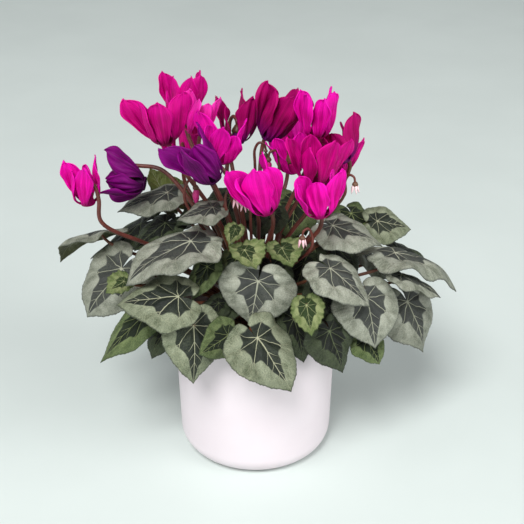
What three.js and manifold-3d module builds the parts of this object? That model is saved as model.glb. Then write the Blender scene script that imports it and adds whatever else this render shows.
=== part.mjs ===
// A potted cyclamen: a plain white planter filled with soil, a tuber half sunk in the soil,
// leaf stalks and flower stalks rising from its crown, heart-shaped leaf blades and nodding
// flowers with swept-back petals. Millimetres, +Z up, origin at the centre of the planter's base.

import * as THREE from "three";
import { mergeVertices } from "three/addons/utils/BufferGeometryUtils.js";
import Module from "manifold-3d";

const wasm = await Module();
wasm.setup();

// Driving dimensions
const POT_RIM_RADIUS = 70;
const POT_HEIGHT = 130;
const POT_TAPER_DEG = 1.5;
const POT_WALL = 4;
const POT_FLOOR = 6;
const POT_CORNER_RADIUS = 18;
const POT_LIP_ROUND = 1.5;
const SOIL_HEIGHT = 114;
const SEAT_GAP = 0.3;
const TUBER_RADIUS = 27;
const TUBER_HEIGHT = 30;
const TUBER_SUNK = 16;
const LEAF_STALK_RADIUS = 1.6;
const FLOWER_STALK_RADIUS = 1.9;
const BLADE_THICKNESS = 0.8;
const PETAL_THICKNESS = 0.9;

// How finely the round and curved pieces are divided
const POT_SIDES = 36;
const SOIL_SIDES = 24;
const TUBER_SIDES = 16;
const STALK_SIDES = 4;
const LEAF_STALK_STEPS = 5;
const FLOWER_STALK_STEPS = 11;
const CALYX_SIDES = 5;
const BLADE_SECTORS = 16;
const BLADE_RINGS = [0.55, 1];

const UP = new THREE.Vector3(0, 0, 1);
const rad = THREE.MathUtils.degToRad;

const root = new THREE.Group();

function finish(color, roughness, metalness = 0) {
  return new THREE.MeshStandardMaterial({ color, roughness, metalness });
}

function addPiece(name, geometry, material) {
  const piece = new THREE.Mesh(geometry, material);
  piece.name = name;
  root.add(piece);
  return piece;
}

// Closed geometry from points and triangles
function geometryFrom(points, triangles) {
  const geometry = new THREE.BufferGeometry();
  const flat = points.flatMap((p) => [p.x, p.y, p.z]);
  geometry.setAttribute("position", new THREE.Float32BufferAttribute(flat, 3));
  geometry.setIndex(triangles);
  return geometry;
}

// A closed mesh as a solid that can be joined
function solidFrom(geometry) {
  const bare = geometry.clone();
  bare.deleteAttribute("normal");
  bare.deleteAttribute("uv");
  const merged = mergeVertices(bare, 1e-4);
  const mesh = new wasm.Mesh({
    numProp: 3,
    vertProperties: new Float32Array(merged.attributes.position.array),
    triVerts: new Uint32Array(merged.index.array),
  });
  mesh.merge();
  return new wasm.Manifold(mesh);
}

function geometryOf(solid) {
  const mesh = solid.getMesh();
  const geometry = new THREE.BufferGeometry();
  geometry.setAttribute("position", new THREE.BufferAttribute(new Float32Array(mesh.vertProperties), 3));
  geometry.setIndex(new THREE.BufferAttribute(new Uint32Array(mesh.triVerts), 1));
  return geometry;
}

function joined(geometries) {
  return geometries.map(solidFrom).reduce((sum, next) => sum.add(next));
}

// A thin blade: the same triangles on both faces, half the thickness to each side, and a rim
// along every edge that only one triangle has
function thickened(points, triangles, thickness) {
  const normals = points.map(() => new THREE.Vector3());
  const edges = new Map();
  for (let i = 0; i < triangles.length; i += 3) {
    const corners = triangles.slice(i, i + 3);
    const [a, b, c] = corners;
    const ab = points[b].clone().sub(points[a]);
    const ac = points[c].clone().sub(points[a]);
    const normal = ab.cross(ac);
    corners.forEach((corner, k) => {
      normals[corner].add(normal);
      const next = corners[(k + 1) % 3];
      edges.set(`${corner} ${next}`, [corner, next]);
    });
  }
  const count = points.length;
  normals.forEach((normal) => normal.normalize());
  const upper = points.map((p, i) => p.clone().addScaledVector(normals[i], thickness / 2));
  const lower = points.map((p, i) => p.clone().addScaledVector(normals[i], -thickness / 2));
  const faces = [...triangles];
  for (let i = 0; i < triangles.length; i += 3) {
    faces.push(triangles[i] + count, triangles[i + 2] + count, triangles[i + 1] + count);
  }
  for (const [a, b] of edges.values()) {
    if (!edges.has(`${b} ${a}`)) {
      faces.push(b, a, a + count, b, a + count, b + count);
    }
  }
  return geometryFrom([...upper, ...lower], faces);
}

// A round stalk along a smooth curve, with few sides
function stalk(curve, radius, steps) {
  const outline = [];
  for (let i = 0; i < STALK_SIDES; i += 1) {
    const angle = (2 * Math.PI * i) / STALK_SIDES;
    outline.push(new THREE.Vector2(radius * Math.cos(angle), radius * Math.sin(angle)));
  }
  return new THREE.ExtrudeGeometry(new THREE.Shape(outline), { steps, extrudePath: curve });
}

// A turned form standing on a point with its axis along a direction
function turned(profile, sides, origin, axis) {
  const geometry = new THREE.LatheGeometry(profile.map(([r, h]) => new THREE.Vector2(r, h)), sides);
  const turn = new THREE.Quaternion().setFromUnitVectors(new THREE.Vector3(0, 1, 0), axis);
  geometry.applyQuaternion(turn);
  geometry.translate(origin.x, origin.y, origin.z);
  return geometry;
}

// The planter, a cup with a slightly tapered wall and a large round at the bottom edge
const potTaper = Math.tan(rad(POT_TAPER_DEG));
const potCornerOuter = POT_RIM_RADIUS - (POT_HEIGHT - POT_CORNER_RADIUS) * potTaper;
const potFlatRadius = potCornerOuter - POT_CORNER_RADIUS;

function potOuterRadius(height) {
  if (height >= POT_CORNER_RADIUS) {
    return POT_RIM_RADIUS - (POT_HEIGHT - height) * potTaper;
  }
  const drop = POT_CORNER_RADIUS - height;
  return potFlatRadius + Math.sqrt(POT_CORNER_RADIUS ** 2 - drop ** 2);
}

function cornerArc(centreR, centreH, radius, steps, backwards) {
  const arc = [];
  for (let i = 0; i <= steps; i += 1) {
    const angle = rad((90 * (backwards ? steps - i : i)) / steps);
    arc.push([centreR + radius * Math.sin(angle), centreH - radius * Math.cos(angle)]);
  }
  return arc;
}

const innerCorner = POT_CORNER_RADIUS - POT_WALL;
const potProfile = [
  [0, 0],
  ...cornerArc(potFlatRadius, POT_CORNER_RADIUS, POT_CORNER_RADIUS, 5, false),
  [POT_RIM_RADIUS, POT_HEIGHT - POT_LIP_ROUND],
  [POT_RIM_RADIUS - POT_LIP_ROUND, POT_HEIGHT],
  [POT_RIM_RADIUS - POT_WALL + POT_LIP_ROUND, POT_HEIGHT],
  [POT_RIM_RADIUS - POT_WALL, POT_HEIGHT - POT_LIP_ROUND],
  ...cornerArc(potFlatRadius, POT_FLOOR + innerCorner, innerCorner, 3, true),
  [0, POT_FLOOR],
];
const origin = new THREE.Vector3(0, 0, 0);
addPiece("pot", turned(potProfile, POT_SIDES, origin, UP), finish(0xeee8ea, 0.45));

// The soil fills the planter up to a little below the rim, with a plain hole for the tuber
const tuberBase = SOIL_HEIGHT - TUBER_SUNK;
const TUBER_FOOT_SHARE = 0.7;
const soilProfile = [
  [0, POT_FLOOR + SEAT_GAP],
  ...cornerArc(potFlatRadius - SEAT_GAP, POT_FLOOR + innerCorner, innerCorner - SEAT_GAP, 3, false),
  [potOuterRadius(SOIL_HEIGHT) - POT_WALL - 2 * SEAT_GAP, SOIL_HEIGHT - 2],
  [TUBER_RADIUS + 16, SOIL_HEIGHT],
  [TUBER_RADIUS + SEAT_GAP, SOIL_HEIGHT - 1],
  [TUBER_RADIUS + SEAT_GAP, SOIL_HEIGHT - 8],
  [TUBER_RADIUS * TUBER_FOOT_SHARE + 2 * SEAT_GAP, tuberBase - SEAT_GAP],
  [0, tuberBase - SEAT_GAP],
];
addPiece("soil", turned(soilProfile, SOIL_SIDES, origin, UP), finish(0x2b211a, 0.95));

// Half of the open notch between the two lobes behind the stalk joint
const NOTCH_HALF_DEG = 6;

// A leaf blade is heart-shaped, with its lobes rounded off at the notch: reach from the stalk joint
// to the rim, for a blade of length 1
function heartReach(angle) {
  const turnDeg = THREE.MathUtils.radToDeg(Math.abs(angle));
  const lobeEnd = 1 - 0.4 * Math.exp((turnDeg + NOTCH_HALF_DEG - 180) / 12);
  return (0.54 + 0.12 * Math.cos(angle) + 0.34 * Math.exp(-turnDeg / 22)) * lobeEnd;
}

// How deep the scallops of the edge are, how far the edge waves and how much the two lobes
// behind the joint lift, for a blade of length 1
const EDGE_TOOTH = 0.045;
const EDGE_WAVE = 0.03;
const LOBE_LIFT = 0.5;

// The frame of a leaf: along the midrib, to the left side, and up through the blade
function leafFrame(leaf) {
  const joint = new THREE.Vector3(...leaf.joint);
  const tip = new THREE.Vector3(...leaf.tip);
  const along = tip.clone().sub(joint);
  const length = along.length();
  along.normalize();
  const level = new THREE.Vector3().crossVectors(UP, along).normalize();
  const above = new THREE.Vector3().crossVectors(along, level);
  const roll = rad(leaf.roll);
  const left = level.clone().multiplyScalar(Math.cos(roll)).addScaledVector(above, Math.sin(roll));
  const over = new THREE.Vector3().crossVectors(along, left);
  return { joint, tip, along, left, over, length };
}

// A point of the blade: angle round the joint, and part of the way out to the rim
function leafPoint(leaf, frame, angle, part, tooth) {
  const reach = frame.length * heartReach(angle) * (1 + tooth) * part;
  const u = reach * Math.cos(angle);
  const v = reach * Math.sin(angle) * leaf.width;
  const bend = rad(leaf.bend);
  const arch = rad(leaf.arch);
  const s = u / frame.length;
  const w = v / frame.length;
  const sag = frame.length * (bend * (s - s * s) * 0.5 - (arch * w * w) / 1.2);
  const lobes = u < 0 ? leaf.lift * frame.length * s * s : 0;
  const wave = EDGE_WAVE * frame.length * part * part * Math.sin(4 * angle + leaf.phase);
  return frame.joint.clone()
    .addScaledVector(frame.along, u)
    .addScaledVector(frame.left, v)
    .addScaledVector(frame.over, sag + lobes + wave);
}

function leafBlade(leaf) {
  const frame = leafFrame(leaf);
  const { sectors } = leaf;
  const spread = Math.PI - rad(NOTCH_HALF_DEG);
  const points = [leafPoint(leaf, frame, 0, 0, 0)];
  for (const part of BLADE_RINGS) {
    for (let i = 0; i <= sectors; i += 1) {
      const angle = -spread + (2 * spread * i) / sectors;
      const tooth = part === 1 && i % 2 === 1 ? -EDGE_TOOTH : 0;
      points.push(leafPoint(leaf, frame, angle, part, tooth));
    }
  }
  const row = sectors + 1;
  const triangles = [];
  for (let i = 0; i < sectors; i += 1) {
    triangles.push(0, 1 + i, 2 + i);
    for (let j = 1; j < BLADE_RINGS.length; j += 1) {
      const a = 1 + (j - 1) * row + i;
      const b = a + row;
      triangles.push(a, b, b + 1, a, b + 1, a + 1);
    }
  }
  return thickened(points, triangles, BLADE_THICKNESS);
}

// A leaf stalk rises from the crown of the tuber, high enough to clear the rim of the planter,
// and meets the underside of the blade
const CROWN_RADIUS = 15;
const STALK_ARCH = 36;
const crownTop = tuberBase + TUBER_HEIGHT;

function leafStalk(leaf, seat) {
  const frame = leafFrame(leaf);
  const azimuth = Math.atan2(frame.joint.y, frame.joint.x);
  const foot = new THREE.Vector3(Math.cos(azimuth), Math.sin(azimuth), 0).multiplyScalar(CROWN_RADIUS);
  foot.z = crownTop - 7;
  const facing = frame.over.clone().addScaledVector(frame.along, -0.5 * rad(leaf.bend)).normalize();
  const end = frame.joint.clone().addScaledVector(facing, -seat);
  const reach = end.clone().sub(foot);
  const rise = foot.clone().addScaledVector(UP, Math.max(reach.z * 0.55 + 12, STALK_ARCH));
  rise.addScaledVector(reach.setZ(0), 0.12);
  const under = end.clone().addScaledVector(facing, -0.35 * frame.length - 6);
  const curve = new THREE.CubicBezierCurve3(foot, rise, under, end);
  return stalk(curve, LEAF_STALK_RADIUS, LEAF_STALK_STEPS);
}

// Leaves that show: where the stalk meets the blade, where the tip is, how broad the blade is
// for its length, its roll about the midrib, and how far it bends along and arches across.
// Small young leaves have fewer sectors.
const LEAVES = [
  { joint: [2, -91, 158], tip: [30, -113, 123], width: 1.18, roll: 4, bend: 10, arch: 10, lift: 1 },
  { joint: [-48, -79, 162], tip: [-48, -98, 120], width: 1.0, roll: -20, bend: 15, arch: 18 },
  { joint: [60, -69, 151], tip: [72, -83, 120], width: 1.15, roll: 5, bend: 12, arch: 18 },
  { joint: [3, -56, 190], tip: [-4, -65, 151], width: 1.4, roll: -30, bend: 20, arch: 8 },
  { joint: [-60, -72, 184], tip: [-108, -75, 180], width: 1.1, roll: -20, bend: 20, arch: 16 },
  { joint: [60, -54, 200], tip: [91, -76, 178], width: 1.1, roll: 0, bend: 20, arch: 14 },
  { joint: [-51, -38, 216], tip: [-105, -62, 195], width: 1.12, roll: 6, bend: 24, arch: 0 },
  { joint: [91, -48, 170], tip: [99, -68, 132], width: 1.2, roll: 0, bend: 20, arch: 10 },
  { joint: [-90, -52, 156], tip: [-127, -64, 119], width: 0.55, roll: -35, bend: 20, arch: 24 },
  { joint: [-111, -15, 179], tip: [-143, -30, 141], width: 1.1, roll: -30, bend: 20, arch: 14 },
  { joint: [-29, -52, 167], tip: [-43, -65, 155], width: 0.9, roll: -20, bend: 15, arch: 18, sectors: 12 },
  { joint: [-21, -80, 154], tip: [-43, -99, 147], width: 1.0, roll: -70, bend: 10, arch: 10, sectors: 12 },
  { joint: [-8, -47, 213], tip: [1, -63, 203], width: 1.4, roll: 0, bend: 10, arch: -30, sectors: 12 },
  { joint: [22, -34, 208], tip: [30, -50, 198], width: 1.5, roll: 0, bend: 10, arch: -30, sectors: 12 },
  { joint: [-130, 10, 201], tip: [-172, 20, 172], width: 1.0, roll: 23, bend: 40, arch: 10 },
  { joint: [-33, -34, 244], tip: [-61, -42, 237], width: 1.0, roll: -7, bend: 20, arch: 16 },
  { joint: [-74, 26, 230], tip: [-117, 20, 216], width: 0.9, roll: -4, bend: 20, arch: 20 },
  { joint: [130, -8, 143], tip: [148, -22, 101], width: 1.2, roll: 8, bend: 24, arch: 16 },
  { joint: [121, -24, 178], tip: [156, -32, 162], width: 0.95, roll: -15, bend: 20, arch: 18 },
  { joint: [117, -8, 190], tip: [173, -2, 156], width: 0.85, roll: -10, bend: 50, arch: 18 },
  { joint: [64, -10, 216], tip: [105, -22, 205], width: 1.0, roll: 10, bend: 20, arch: 16 },
  { joint: [105, 33, 199], tip: [137, 39, 190], width: 1.1, roll: 25, bend: 20, arch: 10 },
  { joint: [16, -14, 230], tip: [17, -28, 217], width: 1.1, roll: 0, bend: 15, arch: 14 },
  { joint: [40, 50, 207], tip: [44, 34, 185], width: 0.8, roll: 10, bend: 15, arch: 14 },
  { joint: [-38, -45, 197], tip: [-51, -59, 174], width: 0.75, roll: -18, bend: 15, arch: 14 },
  { joint: [52, -46, 175], tip: [68, -58, 150], width: 1.0, roll: 0, bend: 15, arch: 14 },
  { joint: [-100, 42, 192], tip: [-146, 40, 160], width: 0.8, roll: 0, bend: 15, arch: 14 },
  { joint: [41, -74, 178], tip: [45, -87, 157], width: 1.0, roll: 10, bend: 20, arch: -14, sectors: 12 },
  {
    joint: [-105, -50, 186], tip: [-119, -58, 179], width: 1.2, roll: -20,
    bend: 20, arch: -14, sectors: 12,
  },
  { joint: [92, -50, 131], tip: [104, -62, 114], width: 1.2, roll: 10, bend: 20, arch: 14, sectors: 12 },
  { joint: [-15, -44, 230], tip: [-20, -55, 221], width: 1.0, roll: -10, bend: 20, arch: -14, sectors: 12 },
];

// Leaves of the back: the way each one points, how far out and how high its stalk ends, its
// length and how steeply it hangs
const BACK_LEAVES = [
  { way: 20, reach: 96, height: 172, length: 56, hang: 40 },
  { way: 48, reach: 92, height: 190, length: 56, hang: 28 },
  { way: 62, reach: 100, height: 150, length: 52, hang: 52 },
  { way: 84, reach: 88, height: 176, length: 60, hang: 30 },
  { way: 100, reach: 86, height: 142, length: 52, hang: 56 },
  { way: 118, reach: 90, height: 184, length: 58, hang: 30 },
  { way: 140, reach: 96, height: 150, length: 54, hang: 48 },
];
for (const { way, reach, height, length, hang } of BACK_LEAVES) {
  const outX = Math.cos(rad(way));
  const outY = Math.sin(rad(way));
  const run = length * Math.cos(rad(hang));
  LEAVES.push({
    joint: [outX * reach, outY * reach, height],
    tip: [outX * (reach + run), outY * (reach + run), height - length * Math.sin(rad(hang))],
    width: 1.1,
    roll: 0,
    bend: 20,
    arch: 14,
  });
}

const leafMaterial = finish(0x8a9384, 0.6);
const stemMaterial = finish(0x6b3328, 0.5);
const stemPieces = [];
const tuberProfile = [
  [0, 0],
  [TUBER_RADIUS * TUBER_FOOT_SHARE, 0],
  [TUBER_RADIUS, TUBER_SUNK * 0.55],
  [TUBER_RADIUS, TUBER_SUNK],
  [TUBER_RADIUS * 0.72, TUBER_HEIGHT * 0.85],
  [TUBER_RADIUS * 0.4, TUBER_HEIGHT],
  [0, TUBER_HEIGHT],
];
stemPieces.push(turned(tuberProfile, TUBER_SIDES, new THREE.Vector3(0, 0, tuberBase), UP));

LEAVES.forEach((leaf, index) => {
  const shaped = { lift: LOBE_LIFT, phase: index * 1.7, sectors: BLADE_SECTORS, ...leaf };
  const name = `leaf_${String(index + 1).padStart(2, "0")}`;
  addPiece(name, leafBlade(shaped), leafMaterial);
  stemPieces.push(leafStalk(shaped, BLADE_THICKNESS / 2 + SEAT_GAP));
});

// A flower nods: its mouth faces down and five petals are swept back up past the calyx.
// The stalk comes up beside the mouth, passes between two petals and hooks over to the calyx.
const MOUTH_RADIUS = 5.5;
const TUBE_TOP_RADIUS = 4.2;
const TUBE_HEIGHT = 9;
const CALYX_HEIGHT = 4;

function bloomFrame(bloom) {
  const mouth = new THREE.Vector3(...bloom.mouth);
  const lean = rad(bloom.lean);
  const tilt = rad(bloom.tilt);
  const axis = new THREE.Vector3(
    Math.sin(tilt) * Math.cos(lean),
    Math.sin(tilt) * Math.sin(lean),
    Math.cos(tilt),
  );
  const side = rad(bloom.side);
  const out = new THREE.Vector3(Math.cos(side), Math.sin(side), 0);
  out.addScaledVector(axis, -out.dot(axis)).normalize();
  const across = new THREE.Vector3().crossVectors(axis, out);
  return { mouth, axis, out, across };
}

// A point of a petal: part of the way from the mouth to the tip, and from one edge to the other.
// No two petals of a bloom are alike, so each sways a little by its place in the bloom.
function petalPoint(bloom, frame, place, turn, part, edge) {
  const sway = Math.sin(12.9 * bloom.index + 3.1 * place);
  const toss = Math.cos(7.7 * bloom.index + 2.3 * place);
  const length = bloom.length * (1 + 0.08 * sway);
  const rise = length * Math.pow(part, 1.15);
  const spread = bloom.flare * (1 + 0.8 * toss);
  const curl = 0.1 * length * part ** 3 * sway;
  const radius = MOUTH_RADIUS + 6 * (1 - Math.exp(-part / 0.12)) + spread * length * part + curl;
  const half = bloom.broad * length * (0.12 + 1.15 * part) * Math.sqrt(1 - part ** 4);
  const angle = turn + rad(bloom.twist + 14 * sway) * part;
  const radial = frame.out.clone().multiplyScalar(Math.cos(angle));
  radial.addScaledVector(frame.across, Math.sin(angle));
  const around = new THREE.Vector3().crossVectors(frame.axis, radial);
  const roll = rad(bloom.roll + 25 * toss) * part;
  const sideways = around.multiplyScalar(Math.cos(roll)).addScaledVector(radial, Math.sin(roll));
  const cup = -0.25 * half * edge * edge;
  return frame.mouth.clone()
    .addScaledVector(frame.axis, rise)
    .addScaledVector(radial, radius + cup)
    .addScaledVector(sideways, half * edge);
}

// Turns of the five petals away from the stalk, which leaves the stalk its way through
const PETAL_TURNS = [62, 121, 180, 239, 298];
const PETAL_ROWS = [0.22, 0.55, 0.88];
const MOUTH_SHARE_DEG = 26;

// The corolla is one sheet: a short tube that turns outward at the mouth into five petals
function corolla(bloom) {
  const frame = bloomFrame(bloom);
  const points = [];
  const triangles = [];
  const ring = (radius, height) => {
    for (const turn of PETAL_TURNS) {
      for (const edge of [-1, 0, 1]) {
        const angle = rad(turn + edge * MOUTH_SHARE_DEG);
        const radial = frame.out.clone().multiplyScalar(Math.cos(angle) * radius);
        radial.addScaledVector(frame.across, Math.sin(angle) * radius);
        points.push(frame.mouth.clone().addScaledVector(frame.axis, height).add(radial));
      }
    }
  };
  ring(TUBE_TOP_RADIUS, TUBE_HEIGHT);
  ring(MOUTH_RADIUS, 0);
  const around = 3 * PETAL_TURNS.length;
  for (let i = 0; i < around; i += 1) {
    const next = (i + 1) % around;
    triangles.push(i, around + next, around + i, i, next, around + next);
  }
  PETAL_TURNS.forEach((turn, k) => {
    let last = around + 3 * k;
    for (const part of PETAL_ROWS) {
      const row = points.length;
      for (const edge of [-1, 0, 1]) {
        points.push(petalPoint(bloom, frame, k, rad(turn), part, edge));
      }
      for (const i of [0, 1]) {
        triangles.push(last + i, row + i + 1, row + i, last + i, last + i + 1, row + i + 1);
      }
      last = row;
    }
    points.push(petalPoint(bloom, frame, k, rad(turn), 1, 0));
    triangles.push(last, last + 1, points.length - 1, last + 1, last + 2, points.length - 1);
  });
  return thickened(points, triangles, PETAL_THICKNESS);
}

function flowerStalk(bloom) {
  const frame = bloomFrame(bloom);
  const at = (out, up) => frame.mouth.clone()
    .addScaledVector(frame.out, out)
    .addScaledVector(frame.axis, up);
  const azimuth = Math.atan2(frame.mouth.y, frame.mouth.x);
  const foot = new THREE.Vector3(Math.cos(azimuth), Math.sin(azimuth), 0);
  foot.multiplyScalar(CROWN_RADIUS * 0.5);
  foot.z = crownTop - 5;
  const below = at(13, -14);
  const rise = foot.clone().lerp(below, 0.5);
  rise.x = rise.x * 0.75 + bloom.bow[0];
  rise.y = rise.y * 0.75 + bloom.bow[1];
  rise.z += 10 + bloom.bow[2];
  const hook = [at(14, 6), at(12, 16), at(6, 20.5), at(1, 18), at(0, TUBE_HEIGHT + CALYX_HEIGHT)];
  const curve = new THREE.CatmullRomCurve3([foot, rise, below, ...hook], false, "centripetal");
  const calyx = [
    [0, TUBE_HEIGHT + SEAT_GAP],
    [4.4, TUBE_HEIGHT + SEAT_GAP],
    [4.6, TUBE_HEIGHT + 2],
    [1.8, TUBE_HEIGHT + CALYX_HEIGHT + 2],
    [0, TUBE_HEIGHT + CALYX_HEIGHT + 2],
  ];
  return [
    stalk(curve, FLOWER_STALK_RADIUS, FLOWER_STALK_STEPS),
    turned(calyx, CALYX_SIDES, frame.mouth, frame.axis),
  ];
}

// Blooms: where the mouth is, the way and the angle that the flower leans, the side on which
// its stalk comes up, and the petals' length, breadth and flare
const BLOOMS = [
  { mouth: [-69, -20, 294], lean: 180, tilt: 12, side: 90, length: 38, broad: 0.34, flare: 0.2 },
  { mouth: [-58, 46, 289], lean: 90, tilt: 10, side: 90, length: 36, broad: 0.31, flare: 0.16 },
  { mouth: [-49, 14, 289], lean: 20, tilt: 14, side: 60, length: 29, broad: 0.26, flare: 0.05 },
  {
    mouth: [-15, 48, 267], lean: 90, tilt: 8, side: 120,
    length: 36, broad: 0.3, flare: 0.2, roll: 62,
  },
  { mouth: [-27, -15, 276], lean: 0, tilt: 8, side: 60, length: 31, broad: 0.31, flare: 0.2 },
  { mouth: [-30, -54, 277], lean: 180, tilt: 36, side: 60, length: 37, broad: 0.34, flare: 0.14 },
  {
    mouth: [-135, -14, 239], lean: 180, tilt: 4, side: -40,
    length: 32, broad: 0.3, flare: 0, bow: [-30, 14, 0],
  },
  {
    mouth: [-91, 6, 247], lean: 174, tilt: 82, side: 0,
    length: 31, broad: 0.38, flare: 0.15, bow: [0, -16, 0],
  },
  { mouth: [10, -48, 247], lean: 180, tilt: 20, side: 90, length: 39, broad: 0.34, flare: 0.1 },
  { mouth: [11, 34, 276], lean: 0, tilt: 20, side: 90, length: 43, broad: 0.3, flare: 0.06 },
  { mouth: [50, 3, 290], lean: 0, tilt: 0, side: 90, length: 37, broad: 0.28, flare: 0.1 },
  { mouth: [48, -17, 258], lean: 0, tilt: 4, side: 60, length: 38, broad: 0.31, flare: 0.24 },
  {
    mouth: [51, -54, 247], lean: 180, tilt: 8, side: 90,
    length: 34, broad: 0.33, flare: 0.16, bow: [9, 2, 0],
  },
  {
    mouth: [74, 18, 263], lean: 180, tilt: 24, side: 90,
    length: 32, broad: 0.36, flare: 0.12, bow: [6, 8, 0],
  },
  { mouth: [33, 8, 258], lean: 180, tilt: 20, side: 60, length: 30, broad: 0.28, flare: 0.1 },
  { mouth: [-62, 78, 232], lean: 110, tilt: 14, side: 270, length: 40, broad: 0.28, flare: 0.25 },
  { mouth: [28, 74, 240], lean: 80, tilt: 10, side: 270, length: 42, broad: 0.28, flare: 0.25 },
  { mouth: [62, 60, 222], lean: 60, tilt: 14, side: 220, length: 40, broad: 0.28, flare: 0.25 },
];

const petalMaterial = finish(0xe010a0, 0.5);
BLOOMS.forEach((bloom, index) => {
  const shaped = { twist: 14, roll: 45, bow: [0, 0, 0], index, ...bloom };
  const name = `bloom_${String(index + 1).padStart(2, "0")}`;
  addPiece(name, corolla(shaped), petalMaterial);
  stemPieces.push(...flowerStalk(shaped));
});

addPiece("tuber_and_stems", geometryOf(joined(stemPieces)), stemMaterial);

export default root;
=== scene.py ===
import math
import random

import bpy
import numpy as np
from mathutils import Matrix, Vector


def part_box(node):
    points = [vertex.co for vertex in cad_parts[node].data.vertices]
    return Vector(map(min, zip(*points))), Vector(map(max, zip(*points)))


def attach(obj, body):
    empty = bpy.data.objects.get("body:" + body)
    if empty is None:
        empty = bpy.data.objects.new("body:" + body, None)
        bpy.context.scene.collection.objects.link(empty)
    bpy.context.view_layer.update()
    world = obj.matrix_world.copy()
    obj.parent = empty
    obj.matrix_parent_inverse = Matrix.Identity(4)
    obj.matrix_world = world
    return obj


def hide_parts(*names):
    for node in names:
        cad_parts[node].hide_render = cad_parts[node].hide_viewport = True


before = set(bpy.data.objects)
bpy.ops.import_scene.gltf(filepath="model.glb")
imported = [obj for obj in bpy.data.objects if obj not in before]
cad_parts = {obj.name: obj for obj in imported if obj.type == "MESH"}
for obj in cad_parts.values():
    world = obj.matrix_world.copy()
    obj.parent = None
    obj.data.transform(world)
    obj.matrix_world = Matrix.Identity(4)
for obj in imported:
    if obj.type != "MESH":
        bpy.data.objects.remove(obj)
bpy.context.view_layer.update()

# A potted cyclamen, put together from the table up: planter, soil, tuber, leaf stalks, leaves,
# flower stalks and flowers. Metres, +Z up, origin at the centre of the planter's flat base.


# THE PLANTER
# A plain white ceramic cup, slip-cast and glazed satin. The wall narrows a little towards the
# foot and turns into the flat base in one large soft round; the lip is rounded by sponging.
pot_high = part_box("pot")[1]
RIM_RADIUS = pot_high.x
POT_HEIGHT = pot_high.z
TAPER_DEG = 1.5
POT_TAPER = math.tan(math.radians(TAPER_DEG))
POT_WALL = 0.004
POT_FLOOR = 0.006
POT_CORNER = 0.018
GLAZE_WHITE = (0.80, 0.72, 0.76, 1.0)
GLAZE_SHADE = (0.74, 0.65, 0.69, 1.0)


def shown_mesh(name, points, faces, flat_faces=()):
    """A smooth-shaded mesh object in the scene, with some faces kept flat."""
    mesh = bpy.data.meshes.new(name)
    mesh.from_pydata([tuple(p) for p in points], [], [tuple(int(i) for i in face) for face in faces])
    smooth = np.ones(len(faces), bool)
    if len(flat_faces):
        smooth[list(flat_faces)] = False
    mesh.polygons.foreach_set("use_smooth", smooth)
    mesh.update()
    piece = bpy.data.objects.new(name, mesh)
    bpy.context.scene.collection.objects.link(piece)
    return piece


def arc(centre_r, centre_h, radius, start_deg, end_deg, steps):
    """Points of a turned profile on a quarter round, by angle from straight down."""
    points = []
    for step in range(steps + 1):
        angle = math.radians(start_deg + (end_deg - start_deg) * step / steps)
        points.append((centre_r + radius * math.sin(angle), centre_h - radius * math.cos(angle)))
    return points


def turned(profile, segments):
    """Points and faces of a profile of (radius, height) turned about Z; radius 0 closes it."""
    points = []
    rings = []
    for radius, height in profile:
        if radius < 1e-7:
            rings.append([len(points)] * segments)
            points.append((0.0, 0.0, height))
            continue
        rings.append([len(points) + i for i in range(segments)])
        for i in range(segments):
            angle = 2 * math.pi * i / segments
            points.append((radius * math.cos(angle), radius * math.sin(angle), height))
    faces = []
    for lower, upper in zip(rings, rings[1:]):
        for i in range(segments):
            j = (i + 1) % segments
            ring_face = []
            for corner in (lower[i], lower[j], upper[j], upper[i]):
                if corner not in ring_face:
                    ring_face.append(corner)
            faces.append(ring_face)
    return points, faces


corner_r = RIM_RADIUS - (POT_HEIGHT - POT_CORNER) * POT_TAPER
flat_r = corner_r - POT_CORNER
lip = POT_WALL / 2
planter_profile = [(0.0, 0.0), (flat_r * 0.5, 0.0)]
planter_profile += arc(flat_r, POT_CORNER, POT_CORNER, 0, 90 - TAPER_DEG, 14)
for share in (0.25, 0.5, 0.75):
    wall_h = POT_CORNER + (POT_HEIGHT - POT_CORNER) * share
    planter_profile.append((RIM_RADIUS - (POT_HEIGHT - wall_h) * POT_TAPER, wall_h))
planter_profile += arc(RIM_RADIUS - lip, POT_HEIGHT - lip, lip, 90, 270, 10)
inner_corner = POT_CORNER - POT_WALL
planter_profile += arc(flat_r, POT_FLOOR + inner_corner, inner_corner, 90, 0, 8)
planter_profile.append((0.0, POT_FLOOR))
planter_points, planter_faces = turned(planter_profile, 128)
planter = shown_mesh("planter", planter_points, planter_faces)


def add_node(tree, kind, inputs, **settings):
    """A shader node with its settings, and its inputs either linked or given a value."""
    made = tree.nodes.new(kind)
    for key, value in settings.items():
        setattr(made, key, value)
    for key, value in inputs.items():
        if isinstance(value, bpy.types.NodeSocket):
            tree.links.new(value, made.inputs[key])
        else:
            made.inputs[key].default_value = value
    return made


def math_node(tree, operation, first, second=0.5, third=0.5, clamp=False):
    inputs = {0: first, 1: second, 2: third}
    return add_node(tree, "ShaderNodeMath", inputs, operation=operation, use_clamp=clamp).outputs[0]


def times_plus(tree, value, share, base):
    return math_node(tree, "MULTIPLY_ADD", value, share, base)


def blend_colour(tree, factor, first, second):
    """The first colour at factor 0 and the second at 1; the node takes them at sockets 6 and 7."""
    return add_node(tree, "ShaderNodeMix", {0: factor, 6: first, 7: second}, data_type="RGBA").outputs[2]


def between(tree, value, low, high, to_low=0.0, to_high=1.0, smooth=True):
    """A value spread over a range, as a smooth step or else evenly."""
    inputs = {0: value, 1: low, 2: high, 3: to_low, 4: to_high}
    step = "SMOOTHSTEP" if smooth else "LINEAR"
    return add_node(tree, "ShaderNodeMapRange", inputs, interpolation_type=step).outputs[0]


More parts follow.
